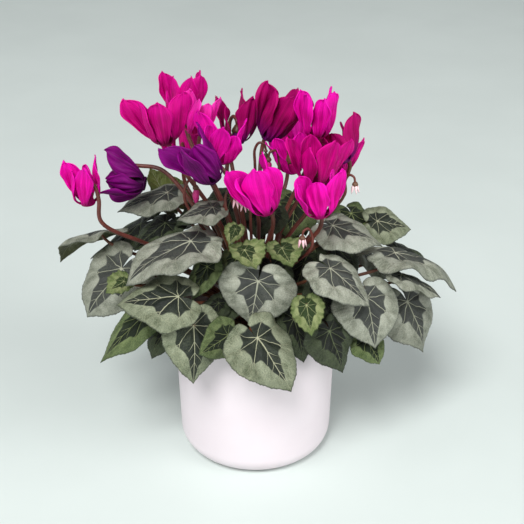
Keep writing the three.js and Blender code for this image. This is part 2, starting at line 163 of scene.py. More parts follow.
def new_group(name, inputs):
    """A shader node group with its named inputs; one that has None for its value is a vector."""
    tree = bpy.data.node_groups.new(name, "ShaderNodeTree")
    for label, value in inputs.items():
        kind = "NodeSocketVector" if value is None else "NodeSocketFloat"
        socket = tree.interface.new_socket(name=label, in_out="INPUT", socket_type=kind)
        if value is not None:
            socket.default_value = value
    return tree, tree.nodes.new("NodeGroupInput").outputs


def put_out(tree, outputs):
    """Gives a group its named outputs, each of them a number, and returns the group."""
    for label in outputs:
        tree.interface.new_socket(name=label, in_out="OUTPUT", socket_type="NodeSocketFloat")
    ends = tree.nodes.new("NodeGroupOutput").inputs
    for label, value in outputs.items():
        tree.links.new(value, ends[label])
    return tree


def place_group(tree, group, inputs):
    return add_node(tree, "ShaderNodeGroup", inputs, node_tree=group).outputs


def split(tree, vector):
    return add_node(tree, "ShaderNodeSeparateXYZ", {0: vector}).outputs


def new_finish(name, **settings):
    """A material with its Principled shader; settings are constant values on its sockets."""
    material = bpy.data.materials.new(name)
    material.use_nodes = True
    shader = material.node_tree.nodes["Principled BSDF"]
    for key, value in settings.items():
        shader.inputs[key.replace("_", " ")].default_value = value
    return material, material.node_tree, shader


def finish_surface(tree, shader, colour, roughness, height, strength, distance):
    """Gives a shader its colour, its roughness and a bump of that height, strength and depth."""
    tree.links.new(colour, shader.inputs["Base Color"])
    tree.links.new(roughness, shader.inputs["Roughness"])
    bump = add_node(tree, "ShaderNodeBump", {"Height": height, "Strength": strength, "Distance": distance})
    tree.links.new(bump.outputs[0], shader.inputs["Normal"])


def noise(tree, place, scale, detail):
    made = add_node(tree, "ShaderNodeTexNoise", {"Vector": place, "Scale": scale, "Detail": detail})
    return made.outputs[0]


def build_mottle():
    """Cloudy unevenness at two sizes, as glaze, bark, leaf skin and soil all have."""
    tree, given = new_group("mottle", {"Scale": 100.0, "Fine Scale": 900.0})
    place = tree.nodes.new("ShaderNodeTexCoord").outputs["Object"]
    cloud = noise(tree, place, given["Scale"], 3.0)
    grain = noise(tree, place, given["Fine Scale"], 2.0)
    return put_out(tree, {
        "Cloud": between(tree, cloud, 0.3, 0.7),
        "Grain": between(tree, grain, 0.3, 0.7),
        "Height": times_plus(tree, grain, 0.35, cloud),
    })


mottle = build_mottle()

glaze, tree, shader = new_finish("satin_white_glaze", IOR=1.5)
unevenness = place_group(tree, mottle, {"Scale": 28.0, "Fine Scale": 700.0})
height = split(tree, tree.nodes.new("ShaderNodeTexCoord").outputs["Object"])["Z"]
# Painted shade: the glaze turns to its darker tone over the lowest 2 cm, towards the foot; its clouds add
# random darker patches on top.
foot_shade = between(tree, height, 0.0, 0.02, 0.5, 0.0)
cloud_and_foot_shade = times_plus(tree, unevenness["Cloud"], 0.35, foot_shade)
glaze_tone = blend_colour(tree, cloud_and_foot_shade, GLAZE_WHITE, GLAZE_SHADE)
dullness = between(tree, unevenness["Cloud"], 0, 1, 0.42, 0.52)
finish_surface(tree, shader, glaze_tone, dullness, unevenness["Height"], 0.12, 0.0006)
planter.data.materials.append(glaze)
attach(planter, "root")
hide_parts("pot")


# THE SOIL
# Dark peat potting mix, filled to a little below the rim and settled by watering. Its top is
# crumbs and bits of bark that stand out of it, with a plain hollow round the tuber.
SOIL_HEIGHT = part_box("soil")[1].z
SEAT_GAP = 0.0003
SOIL_RADIUS = RIM_RADIUS - (POT_HEIGHT - SOIL_HEIGHT) * POT_TAPER - POT_WALL - 2 * SEAT_GAP
TUBER_RADIUS = 0.027
TUBER_SUNK = 0.016
TUBER_FOOT_SHARE = 0.7
CRUMB_COUNT = 420
CLOD_REACH = 0.004
CLOD_HEIGHT = 0.0009
crumb_luck = random.Random(7)


def rise_and_fall(x, y):
    """Gentle unevenness of the soil by place, between about -1 and 1."""
    coarse = 0.6 * math.sin(x / CLOD_REACH + 1.0) * math.cos(1.3 * y / CLOD_REACH - 1.0)
    return coarse + 0.4 * math.sin(2.7 * (x + y) / CLOD_REACH + 2.0)


soil_profile = [(0.0, POT_FLOOR + SEAT_GAP)]
soil_profile += arc(flat_r - SEAT_GAP, POT_FLOOR + inner_corner, inner_corner - SEAT_GAP, 0, 88, 6)
soil_profile.append((SOIL_RADIUS - 0.0004, SOIL_HEIGHT - 0.003))
for share in (0.97, 0.9, 0.8, 0.7, 0.6, 0.5):
    soil_profile.append((SOIL_RADIUS * share, SOIL_HEIGHT - 0.0006))
hollow_floor = SOIL_HEIGHT - TUBER_SUNK - SEAT_GAP
soil_profile.append((TUBER_RADIUS + 0.0015, SOIL_HEIGHT - 0.0012))
soil_profile.append((TUBER_RADIUS + SEAT_GAP, SOIL_HEIGHT - 0.008))
soil_profile += [(TUBER_RADIUS * TUBER_FOOT_SHARE, hollow_floor), (0.0, hollow_floor)]
soil_points, soil_faces = turned(soil_profile, 96)
soil_points = [
    (x, y, z + (CLOD_HEIGHT * rise_and_fall(x, y) if z > SOIL_HEIGHT - 0.001 else 0.0))
    for x, y, z in soil_points
]
OCTAHEDRON = [(1, 0, 0), (-1, 0, 0), (0, 1, 0), (0, -1, 0), (0, 0, 1), (0, 0, -1)]
OCTAHEDRON_FACES = [(0, 2, 4), (2, 1, 4), (1, 3, 4), (3, 0, 4), (2, 0, 5), (1, 2, 5), (3, 1, 5), (0, 3, 5)]
for crumb in range(CRUMB_COUNT):
    reach = math.sqrt(crumb_luck.uniform((TUBER_RADIUS * 1.15) ** 2, (SOIL_RADIUS * 0.96) ** 2))
    way = crumb_luck.uniform(0, 2 * math.pi)
    size = crumb_luck.uniform(0.0008, 0.0024)
    stretch = crumb_luck.uniform(0.6, 1.8)
    turn = crumb_luck.uniform(0, math.pi)
    first = len(soil_points)
    for px, py, pz in OCTAHEDRON:
        jag = crumb_luck.uniform(0.75, 1.2) * size
        sx = px * stretch * jag
        sy = py * jag
        soil_points.append((
            reach * math.cos(way) + sx * math.cos(turn) - sy * math.sin(turn),
            reach * math.sin(way) + sx * math.sin(turn) + sy * math.cos(turn),
            SOIL_HEIGHT + 0.0004 + pz * jag * 0.7,
        ))
    soil_faces += [[first + i for i in face] for face in OCTAHEDRON_FACES]
potting_mix = shown_mesh("potting_mix", soil_points, soil_faces)


def layered(tree, colour, *layers):
    """A colour with others laid over it in turn, each of them by its factor."""
    for factor, over in layers:
        colour = blend_colour(tree, factor, colour, over)
    return colour


peat, tree, shader = new_finish("damp_peat", IOR=1.4)
unevenness = place_group(tree, mottle, {"Scale": 260.0, "Fine Scale": 2400.0})
earth = layered(
    tree, (0.012, 0.008, 0.006, 1),
    (unevenness["Cloud"], (0.05, 0.032, 0.02, 1)),
    (between(tree, unevenness["Grain"], 0.75, 1.0), (0.13, 0.085, 0.05, 1)),
)
dampness = between(tree, unevenness["Cloud"], 0, 1, 0.95, 0.7)
finish_surface(tree, shader, earth, dampness, unevenness["Height"], 0.9, 0.0015)
potting_mix.data.materials.append(peat)
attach(potting_mix, "root")
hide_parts("soil")


# THE TUBER
# A flattened, corky brown corm half sunk in the soil, wrinkled as it dries between waterings.
# Every leaf stalk and flower stalk grows out of its crown.
TUBER_HEIGHT = 0.030
TUBER_BASE = SOIL_HEIGHT - TUBER_SUNK
tuber_profile = [(0.0, 0.0)]
tuber_profile += [(TUBER_RADIUS * TUBER_FOOT_SHARE * share, 0.0) for share in (0.5, 1.0)]
tuber_profile += [(TUBER_RADIUS * 0.9, 0.004), (TUBER_RADIUS * 0.99, 0.009), (TUBER_RADIUS, 0.014)]
tuber_profile += [(TUBER_RADIUS * 0.96, 0.019), (TUBER_RADIUS * 0.82, 0.0235), (TUBER_RADIUS * 0.62, 0.027)]
tuber_profile += [(TUBER_RADIUS * 0.4, 0.0292), (TUBER_RADIUS * 0.2, TUBER_HEIGHT), (0.0, TUBER_HEIGHT)]
tuber_points, tuber_faces = turned(tuber_profile, 72)
wrinkled = []
for x, y, z in tuber_points:
    way = math.atan2(y, x)
    swell = 1 - 0.03 * (1 + math.sin(9 * way + 240 * z)) * (0.6 + 0.4 * math.sin(5 * way))
    wrinkled.append((x * swell, y * swell, TUBER_BASE + z))
tuber = shown_mesh("tuber", wrinkled, tuber_faces)

cork, tree, shader = new_finish("corky_skin", IOR=1.4)
unevenness = place_group(tree, mottle, {"Scale": 180.0, "Fine Scale": 1500.0})
skin = blend_colour(tree, unevenness["Cloud"], (0.045, 0.022, 0.014, 1), (0.14, 0.075, 0.045, 1))
corkiness = between(tree, unevenness["Grain"], 0, 1, 0.7, 0.9)
finish_surface(tree, shader, skin, corkiness, unevenness["Height"], 0.8, 0.001)
tuber.data.materials.append(cork)
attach(tuber, "root")
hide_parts("tuber_and_stems")


# THE LEAF BLADES
# Heart-shaped blades, waxy and about half a millimetre thick, each with a dark star round the
# stalk joint, forked cream veins, a silver or grey-green margin and a finely toothed edge.
BLADE_THICKNESS = 0.0006
NOTCH_HALF_DEG = 6
BLADE_SECTORS = 144
BLADE_RINGS = (0.05, 0.12, 0.2, 0.28, 0.36, 0.44, 0.52, 0.6, 0.68, 0.76, 0.83, 0.89, 0.94, 0.975, 1.0)
LOBE_LIFT = 0.5
FRONT_LOBE_LIFT = 1.0

# Height of a blade's long waves, of the quilting between its veins and of its dents, for length 1
EDGE_WAVE = 0.03
QUILT_DEPTH = 0.042
DENT_DEPTH = 0.020

# Joint with the stalk, tip, breadth for length, roll, bend along, arch across (degrees), finish
LEAVES = [
    ((0.002, -0.091, 0.158), (0.030, -0.113, 0.123), 1.18, 4, 10, 10, "sage"),
    ((-0.048, -0.079, 0.162), (-0.048, -0.098, 0.120), 1.0, -20, 15, 18, "sage"),
    ((0.060, -0.069, 0.151), (0.072, -0.083, 0.120), 1.15, 5, 12, 18, "olive_in_painted_shade"),
    ((0.003, -0.056, 0.190), (-0.004, -0.065, 0.151), 1.4, -30, 20, 8, "silver"),
    ((-0.060, -0.072, 0.184), (-0.108, -0.075, 0.180), 1.1, -20, 20, 16, "sage"),
    ((0.060, -0.054, 0.200), (0.091, -0.076, 0.178), 1.1, 0, 20, 14, "silver"),
    ((-0.051, -0.038, 0.216), (-0.105, -0.062, 0.195), 1.12, 6, 24, 0, "silver"),
    ((0.091, -0.048, 0.170), (0.099, -0.068, 0.132), 1.2, 0, 20, 10, "silver"),
    ((-0.090, -0.052, 0.156), (-0.127, -0.064, 0.119), 0.55, -35, 20, 24, "green"),
    ((-0.111, -0.015, 0.179), (-0.143, -0.030, 0.141), 1.1, -30, 20, 14, "silver"),
    ((-0.029, -0.052, 0.167), (-0.043, -0.065, 0.155), 0.9, -20, 15, 18, "olive_in_painted_shade"),
    ((-0.021, -0.080, 0.154), (-0.043, -0.099, 0.147), 1.0, -70, 10, 10, "green"),
    ((-0.008, -0.047, 0.213), (0.001, -0.063, 0.203), 1.4, 0, 10, -30, "young"),
    ((0.022, -0.034, 0.208), (0.030, -0.050, 0.198), 1.5, 0, 10, -30, "young"),
    ((-0.130, 0.010, 0.201), (-0.172, 0.020, 0.172), 1.0, 23, 40, 10, "silver"),
    ((-0.033, -0.034, 0.244), (-0.061, -0.042, 0.237), 1.0, -7, 20, 16, "silver"),
    ((-0.074, 0.026, 0.230), (-0.117, 0.020, 0.216), 0.9, -4, 20, 20, "silver"),
    ((0.130, -0.008, 0.143), (0.148, -0.022, 0.101), 1.2, 8, 24, 16, "silver"),
    ((0.121, -0.024, 0.178), (0.156, -0.032, 0.162), 0.95, -15, 20, 18, "silver"),
    ((0.117, -0.008, 0.190), (0.173, -0.002, 0.156), 0.85, -10, 50, 18, "silver"),
    ((0.064, -0.010, 0.216), (0.105, -0.022, 0.205), 1.0, 10, 20, 16, "silver"),
    ((0.105, 0.033, 0.199), (0.137, 0.039, 0.190), 1.1, 25, 20, 10, "sage"),
    ((0.016, -0.014, 0.230), (0.017, -0.028, 0.217), 1.1, 0, 15, 14, "olive_in_painted_shade"),
    ((0.040, 0.050, 0.207), (0.044, 0.034, 0.185), 0.8, 10, 15, 14, "olive_in_painted_shade"),
    ((-0.038, -0.045, 0.197), (-0.051, -0.059, 0.174), 0.75, -18, 15, 14, "green"),
    ((0.052, -0.046, 0.175), (0.068, -0.058, 0.150), 1.0, 0, 15, 14, "olive_in_painted_shade"),
    ((-0.100, 0.042, 0.192), (-0.146, 0.040, 0.160), 0.8, 0, 15, 14, "olive_in_painted_shade"),
    ((0.041, -0.074, 0.178), (0.045, -0.087, 0.157), 1.0, 10, 20, -14, "young"),
    ((-0.105, -0.050, 0.186), (-0.119, -0.058, 0.179), 1.2, -20, 20, -14, "young"),
    ((0.092, -0.050, 0.131), (0.104, -0.062, 0.114), 1.2, 10, 20, 14, "green"),
    ((-0.015, -0.044, 0.230), (-0.020, -0.055, 0.221), 1.0, -10, 20, -14, "young"),
]

# Leaves of the back: way they point, how far out and how high the joint is, length, hang, finish
BACK_LEAVES = [
    (20, 0.096, 0.172, 0.056, 40, "silver"),
    (48, 0.092, 0.190, 0.056, 28, "sage"),
    (62, 0.100, 0.150, 0.052, 52, "sage"),
    (84, 0.088, 0.176, 0.060, 30, "silver"),
    (100, 0.086, 0.142, 0.052, 56, "sage"),
    (118, 0.090, 0.184, 0.058, 30, "silver"),
    (140, 0.096, 0.150, 0.054, 48, "sage"),
]


def level_way(angle):
    return np.array([math.cos(angle), math.sin(angle), 0.0])


for way, reach, height, length, hang, leaf_finish in BACK_LEAVES:
    outward = level_way(math.radians(way))
    run = reach + length * math.cos(math.radians(hang))
    drop = length * math.sin(math.radians(hang))
    joint = outward * reach + [0, 0, height]
    LEAVES.append((joint, outward * run + [0, 0, height - drop], 1.1, 0, 20, 14, leaf_finish))

# Small leaves among the stalks, which fill the plant between and behind the large ones; most are darkened
# as painted shade
INNER_LEAVES = [
    ((-0.021, 0.052, 0.213), (-0.029, 0.022, 0.192), 1.1, 0, 20, 14, "olive_in_painted_shade"),
    ((0.006, 0.058, 0.209), (0.002, 0.028, 0.184), 1.0, 8, 20, 14, "olive_in_painted_shade"),
    ((0.034, 0.032, 0.218), (0.030, 0.002, 0.196), 1.1, -6, 20, 14, "green"),
    ((-0.041, 0.023, 0.219), (-0.066, 0.005, 0.210), 1.1, 0, 20, 14, "olive_in_painted_shade"),
    ((-0.076, 0.018, 0.205), (-0.102, 0.000, 0.188), 1.1, 0, 20, 14, "olive_in_painted_shade"),
    ((0.041, -0.012, 0.182), (0.031, -0.032, 0.158), 1.0, 0, 20, 14, "olive_in_painted_shade"),
    ((0.067, 0.002, 0.192), (0.088, -0.012, 0.170), 1.2, 0, 20, 14, "olive_in_painted_shade"),
    ((0.032, -0.055, 0.154), (0.040, -0.075, 0.126), 0.9, 0, 20, 14, "olive_in_painted_shade"),
    ((-0.069, -0.053, 0.150), (-0.085, -0.073, 0.128), 0.9, 0, 20, 14, "olive_in_painted_shade"),
    ((-0.024, -0.045, 0.164), (-0.036, -0.056, 0.143), 1.1, 0, 20, 14, "olive_in_painted_shade"),
    ((0.124, 0.033, 0.173), (0.153, 0.029, 0.159), 1.1, 0, 20, 14, "olive_in_painted_shade"),
    ((-0.073, 0.056, 0.207), (-0.093, 0.072, 0.231), 1.1, 180, 20, 20, "sage"),
    ((0.014, -0.037, 0.192), (0.020, -0.057, 0.169), 1.0, 0, 20, 14, "olive_in_painted_shade"),
    ((0.083, 0.041, 0.203), (0.095, 0.017, 0.183), 1.1, 0, 20, 14, "green"),
    ((-0.012, -0.029, 0.200), (-0.026, -0.047, 0.182), 1.1, 0, 20, 14, "green"),
]


def unit(vector):
    return vector / np.linalg.norm(vector)


def leaf_frame(joint, tip, roll):
    """Along the midrib, to the left side and up through the blade, and the blade's length."""
    along = np.array(tip) - np.array(joint)
    length = np.linalg.norm(along)
    along = along / length
    level = unit(np.array([-along[1], along[0], 0.0]))
    above = np.cross(along, level)
    left = level * math.cos(roll) + above * math.sin(roll)
    return along, left, np.cross(along, left), length


def heart_reach(angle):
    """From the joint to the edge of a blade of length 1, rounded off at the notch."""
    turn_deg = np.degrees(np.abs(angle))
    lobe_end = 1 - 0.4 * np.exp((turn_deg + NOTCH_HALF_DEG - 180) / 12)
    return (0.54 + 0.12 * np.cos(angle) + 0.34 * np.exp(-turn_deg / 22)) * lobe_end


# Veins on one half of a leaf of length 1: from, to, half breadth at the start and at the end
MAIN_VEINS = [
    ((0.0, 0.0), (0.96, 0.0), 0.013, 0.003),
    ((0.0, 0.0), (0.30, 0.26), 0.009, 0.006),
    ((0.0, 0.0), (0.02, 0.36), 0.008, 0.005),
    ((0.0, 0.0), (-0.19, 0.21), 0.007, 0.004),
]
VEIN_FORKS = [
    ((0.30, 0.26), (0.52, 0.31), 0.006, 0.002),
    ((0.30, 0.26), (0.36, 0.44), 0.005, 0.002),
    ((0.02, 0.36), (0.14, 0.50), 0.005, 0.002),
    ((0.02, 0.36), (-0.05, 0.49), 0.005, 0.002),
    ((-0.19, 0.21), (-0.32, 0.25), 0.004, 0.002),
    ((-0.19, 0.21), (-0.20, 0.36), 0.004, 0.002),
    ((0.27, 0.0), (0.44, 0.11), 0.006, 0.002),
    ((0.46, 0.0), (0.63, 0.12), 0.005, 0.002),
    ((0.63, 0.0), (0.77, 0.08), 0.004, 0.002),
]


def vein_depth(s, w):
    """How deep a blade sinks at a place: 1 on a vein and 0 between the veins."""
    depth = np.zeros_like(s)
    for start, end, breadth, end_breadth in MAIN_VEINS + VEIN_FORKS:
        start = np.array(start)
        way = np.array(end) - start
        share = np.clip(((s - start[0]) * way[0] + (np.abs(w) - start[1]) * way[1]) / way.dot(way), 0, 1)
        apart = np.hypot(s - start[0] - share * way[0], np.abs(w) - start[1] - share * way[1])
        strength = 60 * (breadth + (end_breadth - breadth) * share)
        depth = np.maximum(depth, strength * np.exp(-(apart / 0.035) ** 2))
    return depth


def blade_points(leaf, number):
    """Mid-surface points of a blade, with each point's place on the flat leaf and share of reach."""
    joint, tip, width, roll, bend, arch, leaf_finish = leaf
    along, left, over, length = leaf_frame(joint, tip, math.radians(roll))
    spread = math.pi - math.radians(NOTCH_HALF_DEG)
    angle = np.linspace(-spread, spread, BLADE_SECTORS + 1)[None, :]
    part = np.array(BLADE_RINGS)[:, None]
    step = np.arange(BLADE_SECTORS + 1)[None, :]
    young = leaf_finish == "young"
    phase = (number - 1) * 1.7

    # Toothed outline, seen flat: u runs along the midrib and v across it
    big_tooth = 0.060 if young else 0.016
    fine_tooth = 0.018 if young else 0.012
    tooth = big_tooth * (1 - np.cos(2 * math.pi * step / 6)) / 2 + fine_tooth * (step % 2)
    uneven = 0.022 * np.sin(3 * angle + phase) + 0.016 * np.sin(7 * angle + 2 * phase)
    reach = length * heart_reach(angle) * part * (1 - tooth * part ** 10 + uneven * part ** 4)
    u = reach * np.cos(angle)
    v = reach * np.sin(angle) * width
    s = u / length
    w = v / length

    # Heights above the flat leaf
    sag = length * (math.radians(bend) * (s - s * s) * 0.5 - math.radians(arch) * w * w / 1.2)
    lift = FRONT_LOBE_LIFT if number == 1 else LOBE_LIFT
    lobes = np.where(u < 0, lift * length * s * s, 0.0)
    wave = EDGE_WAVE * length * part ** 2 * np.sin(4 * angle + phase)
    frills = 11 if young else 7
    ripple = (0.055 if young else 0.030) * length * part ** 4 * np.sin(frills * angle + 2.3 * phase)
    turned_edge = (0.06 if young else -0.07) * length * part ** 5
    flat_w = np.sin(angle) * reach / length
    quilt = -QUILT_DEPTH * length * vein_depth(s, flat_w)
    quilt = quilt * (1 - part ** 4) * np.clip(part / 0.3, 0, 1) ** 2
    dents = DENT_DEPTH * length * np.sin(8 * s + phase) * np.cos(9 * flat_w - 2 * phase)
    height = sag + lobes + wave + ripple + turned_edge + quilt + dents
    points = joint + along * u[..., None] + left * v[..., None] + over * height[..., None]
    places = np.stack(np.broadcast_arrays(s, flat_w, part), -1)
    return np.vstack([joint, points.reshape(-1, 3)]), np.vstack([(0, 0, 0), places.reshape(-1, 3)])


def blade_faces():
    """Triangles round the joint, then quads ring by ring."""
    row = BLADE_SECTORS + 1
    faces = [(0, 1 + i, 2 + i) for i in range(BLADE_SECTORS)]
    for ring in range(1, len(BLADE_RINGS)):
        first = 1 + (ring - 1) * row
        faces += [(a, a + row, a + row + 1, a + 1) for a in range(first, first + BLADE_SECTORS)]
    return faces


def point_normals(points, faces):
    """The way up at each point of a sheet of triangles and quads."""
    normals = np.zeros_like(points)
    for size in (3, 4):
        chosen = np.array([face for face in faces if len(face) == size], int)
        if not len(chosen):
            continue
        corner = points[chosen[:, 0]]
        across = np.cross(points[chosen[:, 1]] - corner, points[chosen[:, -1]] - corner)
        for column in chosen.T:
            np.add.at(normals, column, across)
    return normals / (np.linalg.norm(normals, axis=1)[:, None] + 1e-12)


def thick_sheet(points, faces, thickness):
    """A thin skin closed all round: both faces, and a flat rim along the open edges."""
    normals = point_normals(points, faces)
    count = len(points)
    both = np.vstack([points + normals * thickness / 2, points - normals * thickness / 2])
    closed = list(faces) + [tuple(i + count for i in reversed(face)) for face in faces]
    edges = {(a, b) for face in faces for a, b in zip(face, face[1:] + face[:1])}
    rim_start = len(closed)
    closed += [(b, a, a + count, b + count) for a, b in edges if (b, a) not in edges]
    return both, closed, range(rim_start, len(closed))


def mark_points(piece, name, values):
    """Stores a vector at every point of a piece, for its material to read by that name."""
    marks = piece.data.attributes.new(name, "FLOAT_VECTOR", "POINT")
    marks.data.foreach_set("vector", np.asarray(values, np.float32).ravel())


def read_marks(tree, name):
    marks = add_node(tree, "ShaderNodeAttribute", {}, attribute_name=name, attribute_type="GEOMETRY")
    return marks.outputs["Vector"]


# How strongly the star follows each main vein, and how broad that arm is for its reach
STAR_ARMS = ((1.0, 0.20), (0.32, 0.18), (0.24, 0.22), (0.16, 0.35))


def times(tree, first, second):
    return math_node(tree, "MULTIPLY", first, second)


def vector_node(tree, operation, inputs):
    """A step of vector arithmetic; some operations give a number and the others a vector."""
    made = add_node(tree, "ShaderNodeVectorMath", inputs, operation=operation)
    return made.outputs["Value" if operation in ("DOT_PRODUCT", "DISTANCE", "LENGTH") else "Vector"]


def combine(tree, x, y, z=0.0):
    return add_node(tree, "ShaderNodeCombineXYZ", {0: x, 1: y, 2: z}).outputs[0]


def build_vein_line():
    """How far a point is from one vein, and how strongly it shows there."""
    tree, given = new_group("vein_line", {
        "Place": None, "From": None, "Way": None,
        "Inverse Length Squared": 1.0, "Start Breadth": 0.01, "Breadth Change": -0.005,
    })
    offset = vector_node(tree, "SUBTRACT", {0: given["Place"], 1: given["From"]})
    dot = vector_node(tree, "DOT_PRODUCT", {0: offset, 1: given["Way"]})
    share = math_node(tree, "MULTIPLY", dot, given["Inverse Length Squared"], clamp=True)
    nearest = vector_node(tree, "SCALE", {0: given["Way"], "Scale": share})
    distance = vector_node(tree, "DISTANCE", {0: offset, 1: nearest})
    breadth = times_plus(tree, share, given["Breadth Change"], given["Start Breadth"])
    ratio = math_node(tree, "DIVIDE", distance, breadth)
    return put_out(tree, {"Distance": distance, "Vein": between(tree, ratio, 1.35, 0.5)})


vein_line = build_vein_line()


def build_leaf_pattern():
    """The star, the veins and the fine net of a cyclamen leaf, from a point's place on it."""
    tree, given = new_group("cyclamen_leaf_pattern", {"Star Size": 0.30, "Star Points": 0.26})
    place = split(tree, read_marks(tree, "leaf_place"))
    side_and_luck = split(tree, read_marks(tree, "leaf_marks"))
    luck = side_and_luck["Y"]
    shifted = combine(tree, place["X"], place["Y"], luck)
    bend_noise = add_node(tree, "ShaderNodeTexNoise", {"Vector": shifted, "Scale": 4.0, "Detail": 2.0})
    bend = vector_node(tree, "SUBTRACT", {0: bend_noise.outputs["Color"], 1: (0.5, 0.5, 0.5)})
    bend = vector_node(tree, "MULTIPLY", {0: bend, 1: (0.10, 0.10, 0.0)})
    off_midrib = math_node(tree, "ABSOLUTE", place["Y"])
    bend = vector_node(tree, "SCALE", {0: bend, "Scale": between(tree, off_midrib, 0.0, 0.12)})
    warped = vector_node(tree, "ADD", {0: combine(tree, place["X"], off_midrib), 1: bend})
    reach = vector_node(tree, "LENGTH", {0: warped})
    veins = 0.0
    closeness = 0.0
    nearest_vein = 10.0
    for number, (start, end, breadth, end_breadth) in enumerate(MAIN_VEINS + VEIN_FORKS):
        way = (end[0] - start[0], end[1] - start[1])
        line = place_group(tree, vein_line, {
            "Place": warped,
            "From": (*start, 0.0),
            "Way": (*way, 0.0),
            "Inverse Length Squared": 1 / (way[0] ** 2 + way[1] ** 2),
            "Start Breadth": breadth,
            "Breadth Change": end_breadth - breadth,
        })
        veins = math_node(tree, "MAXIMUM", veins, line["Vein"])
        nearest_vein = math_node(tree, "MINIMUM", nearest_vein, line["Distance"])
        if number < len(MAIN_VEINS):
            strength, arm_breadth = STAR_ARMS[number]
            room = times_plus(tree, reach, -arm_breadth, -0.012)
            close = math_node(tree, "EXPONENT", math_node(tree, "DIVIDE", line["Distance"], room))
            closeness = times_plus(tree, close, strength, closeness)
    limit = times_plus(tree, closeness, given["Star Points"], given["Star Size"])
    forward = between(tree, place["X"], -0.2, 0.5, 0.9, 1.22)
    size_luck = math_node(tree, "FRACT", times(tree, luck, 7.0))
    own_size = between(tree, size_luck, 0, 1, 0.86, 1.12, smooth=False)
    limit = times(tree, limit, times(tree, forward, own_size))
    fray = times_plus(tree, noise(tree, shifted, 7.0, 1.5), 0.05, -0.025)
    inside = math_node(tree, "SUBTRACT", math_node(tree, "ADD", limit, fray), reach)
    net = add_node(
        tree, "ShaderNodeTexVoronoi", {"Vector": shifted, "Scale": 17.0}, feature="DISTANCE_TO_EDGE")
    net_lines = between(tree, net.outputs["Distance"], 0.10, 0.0)
    round_joint = times(tree, math_node(tree, "ARCTAN2", place["Y"], place["X"]), 9.0)
    outward = times(tree, reach, 2.0)
    wrinkle = noise(tree, combine(tree, round_joint, outward, luck), 2.0, 2.0)
    speckle = noise(tree, shifted, 60.0, 3.0)
    relief = times_plus(tree, veins, -0.8, speckle)
    outer_wrinkle = times(tree, wrinkle, between(tree, place["Z"], 0.4, 0.95))
    relief = times_plus(tree, outer_wrinkle, 1.6, relief)
    relief = times_plus(tree, between(tree, nearest_vein, 0.0, 0.11), 1.3, relief)
    return put_out(tree, {
        "Star": between(tree, inside, -0.014, 0.018),
        "Halo": between(tree, inside, -0.16, -0.02),
        "Veins": veins,
        # Painted shade in the grooves along the sunken veins
        "Vein Groove Shade": between(tree, nearest_vein, 0.085, 0.0),
        "Net": net_lines,
        "Wrinkle": between(tree, wrinkle, 0.35, 0.65),
        "Speckle": between(tree, speckle, 0.38, 0.62),
        "Edge": place["Z"],
        "Side": side_and_luck["X"],
        "Luck": luck,
        "Height": times_plus(tree, net_lines, -0.35, relief),
    })


leaf_pattern = build_leaf_pattern()


# Margin, its darker cloud, star, veins and underside, as a screen shows them from 0 to 255, and
# the star's size and how far its points reach
LEAF_FINISHES = {
    "silver": ((172, 175, 160), (102, 107, 92), (48, 51, 50), (178, 180, 158), (74, 78, 44), 0.20, 0.54),
    "sage": ((156, 163, 137), (88, 97, 72), (12, 22, 20), (190, 192, 160), (92, 102, 48), 0.235, 0.51),
    "green": ((116, 130, 84), (60, 78, 40), (12, 24, 10), (156, 168, 112), (76, 90, 40), 0.22, 0.50),
    "young": ((166, 172, 122), (92, 114, 58), (22, 44, 16), (180, 186, 134), (96, 114, 52), 0.22, 0.42),
    # This finish is a leaf darkened as painted shade, for the leaves that sit deep inside the plant
    "olive_in_painted_shade": ((62, 72, 48), (34, 43, 26), (6, 11, 6), (100, 110, 78), (50, 54, 24), 0.22, 0.50),
}


def screen(colour):
    """A colour as a screen shows it, 0 to 255, in the linear values that shaders take."""
    linear = [((c / 255 + 0.055) / 1.055) ** 2.4 if c > 10 else c / 255 / 12.92 for c in colour]
    return (*linear, 1.0)


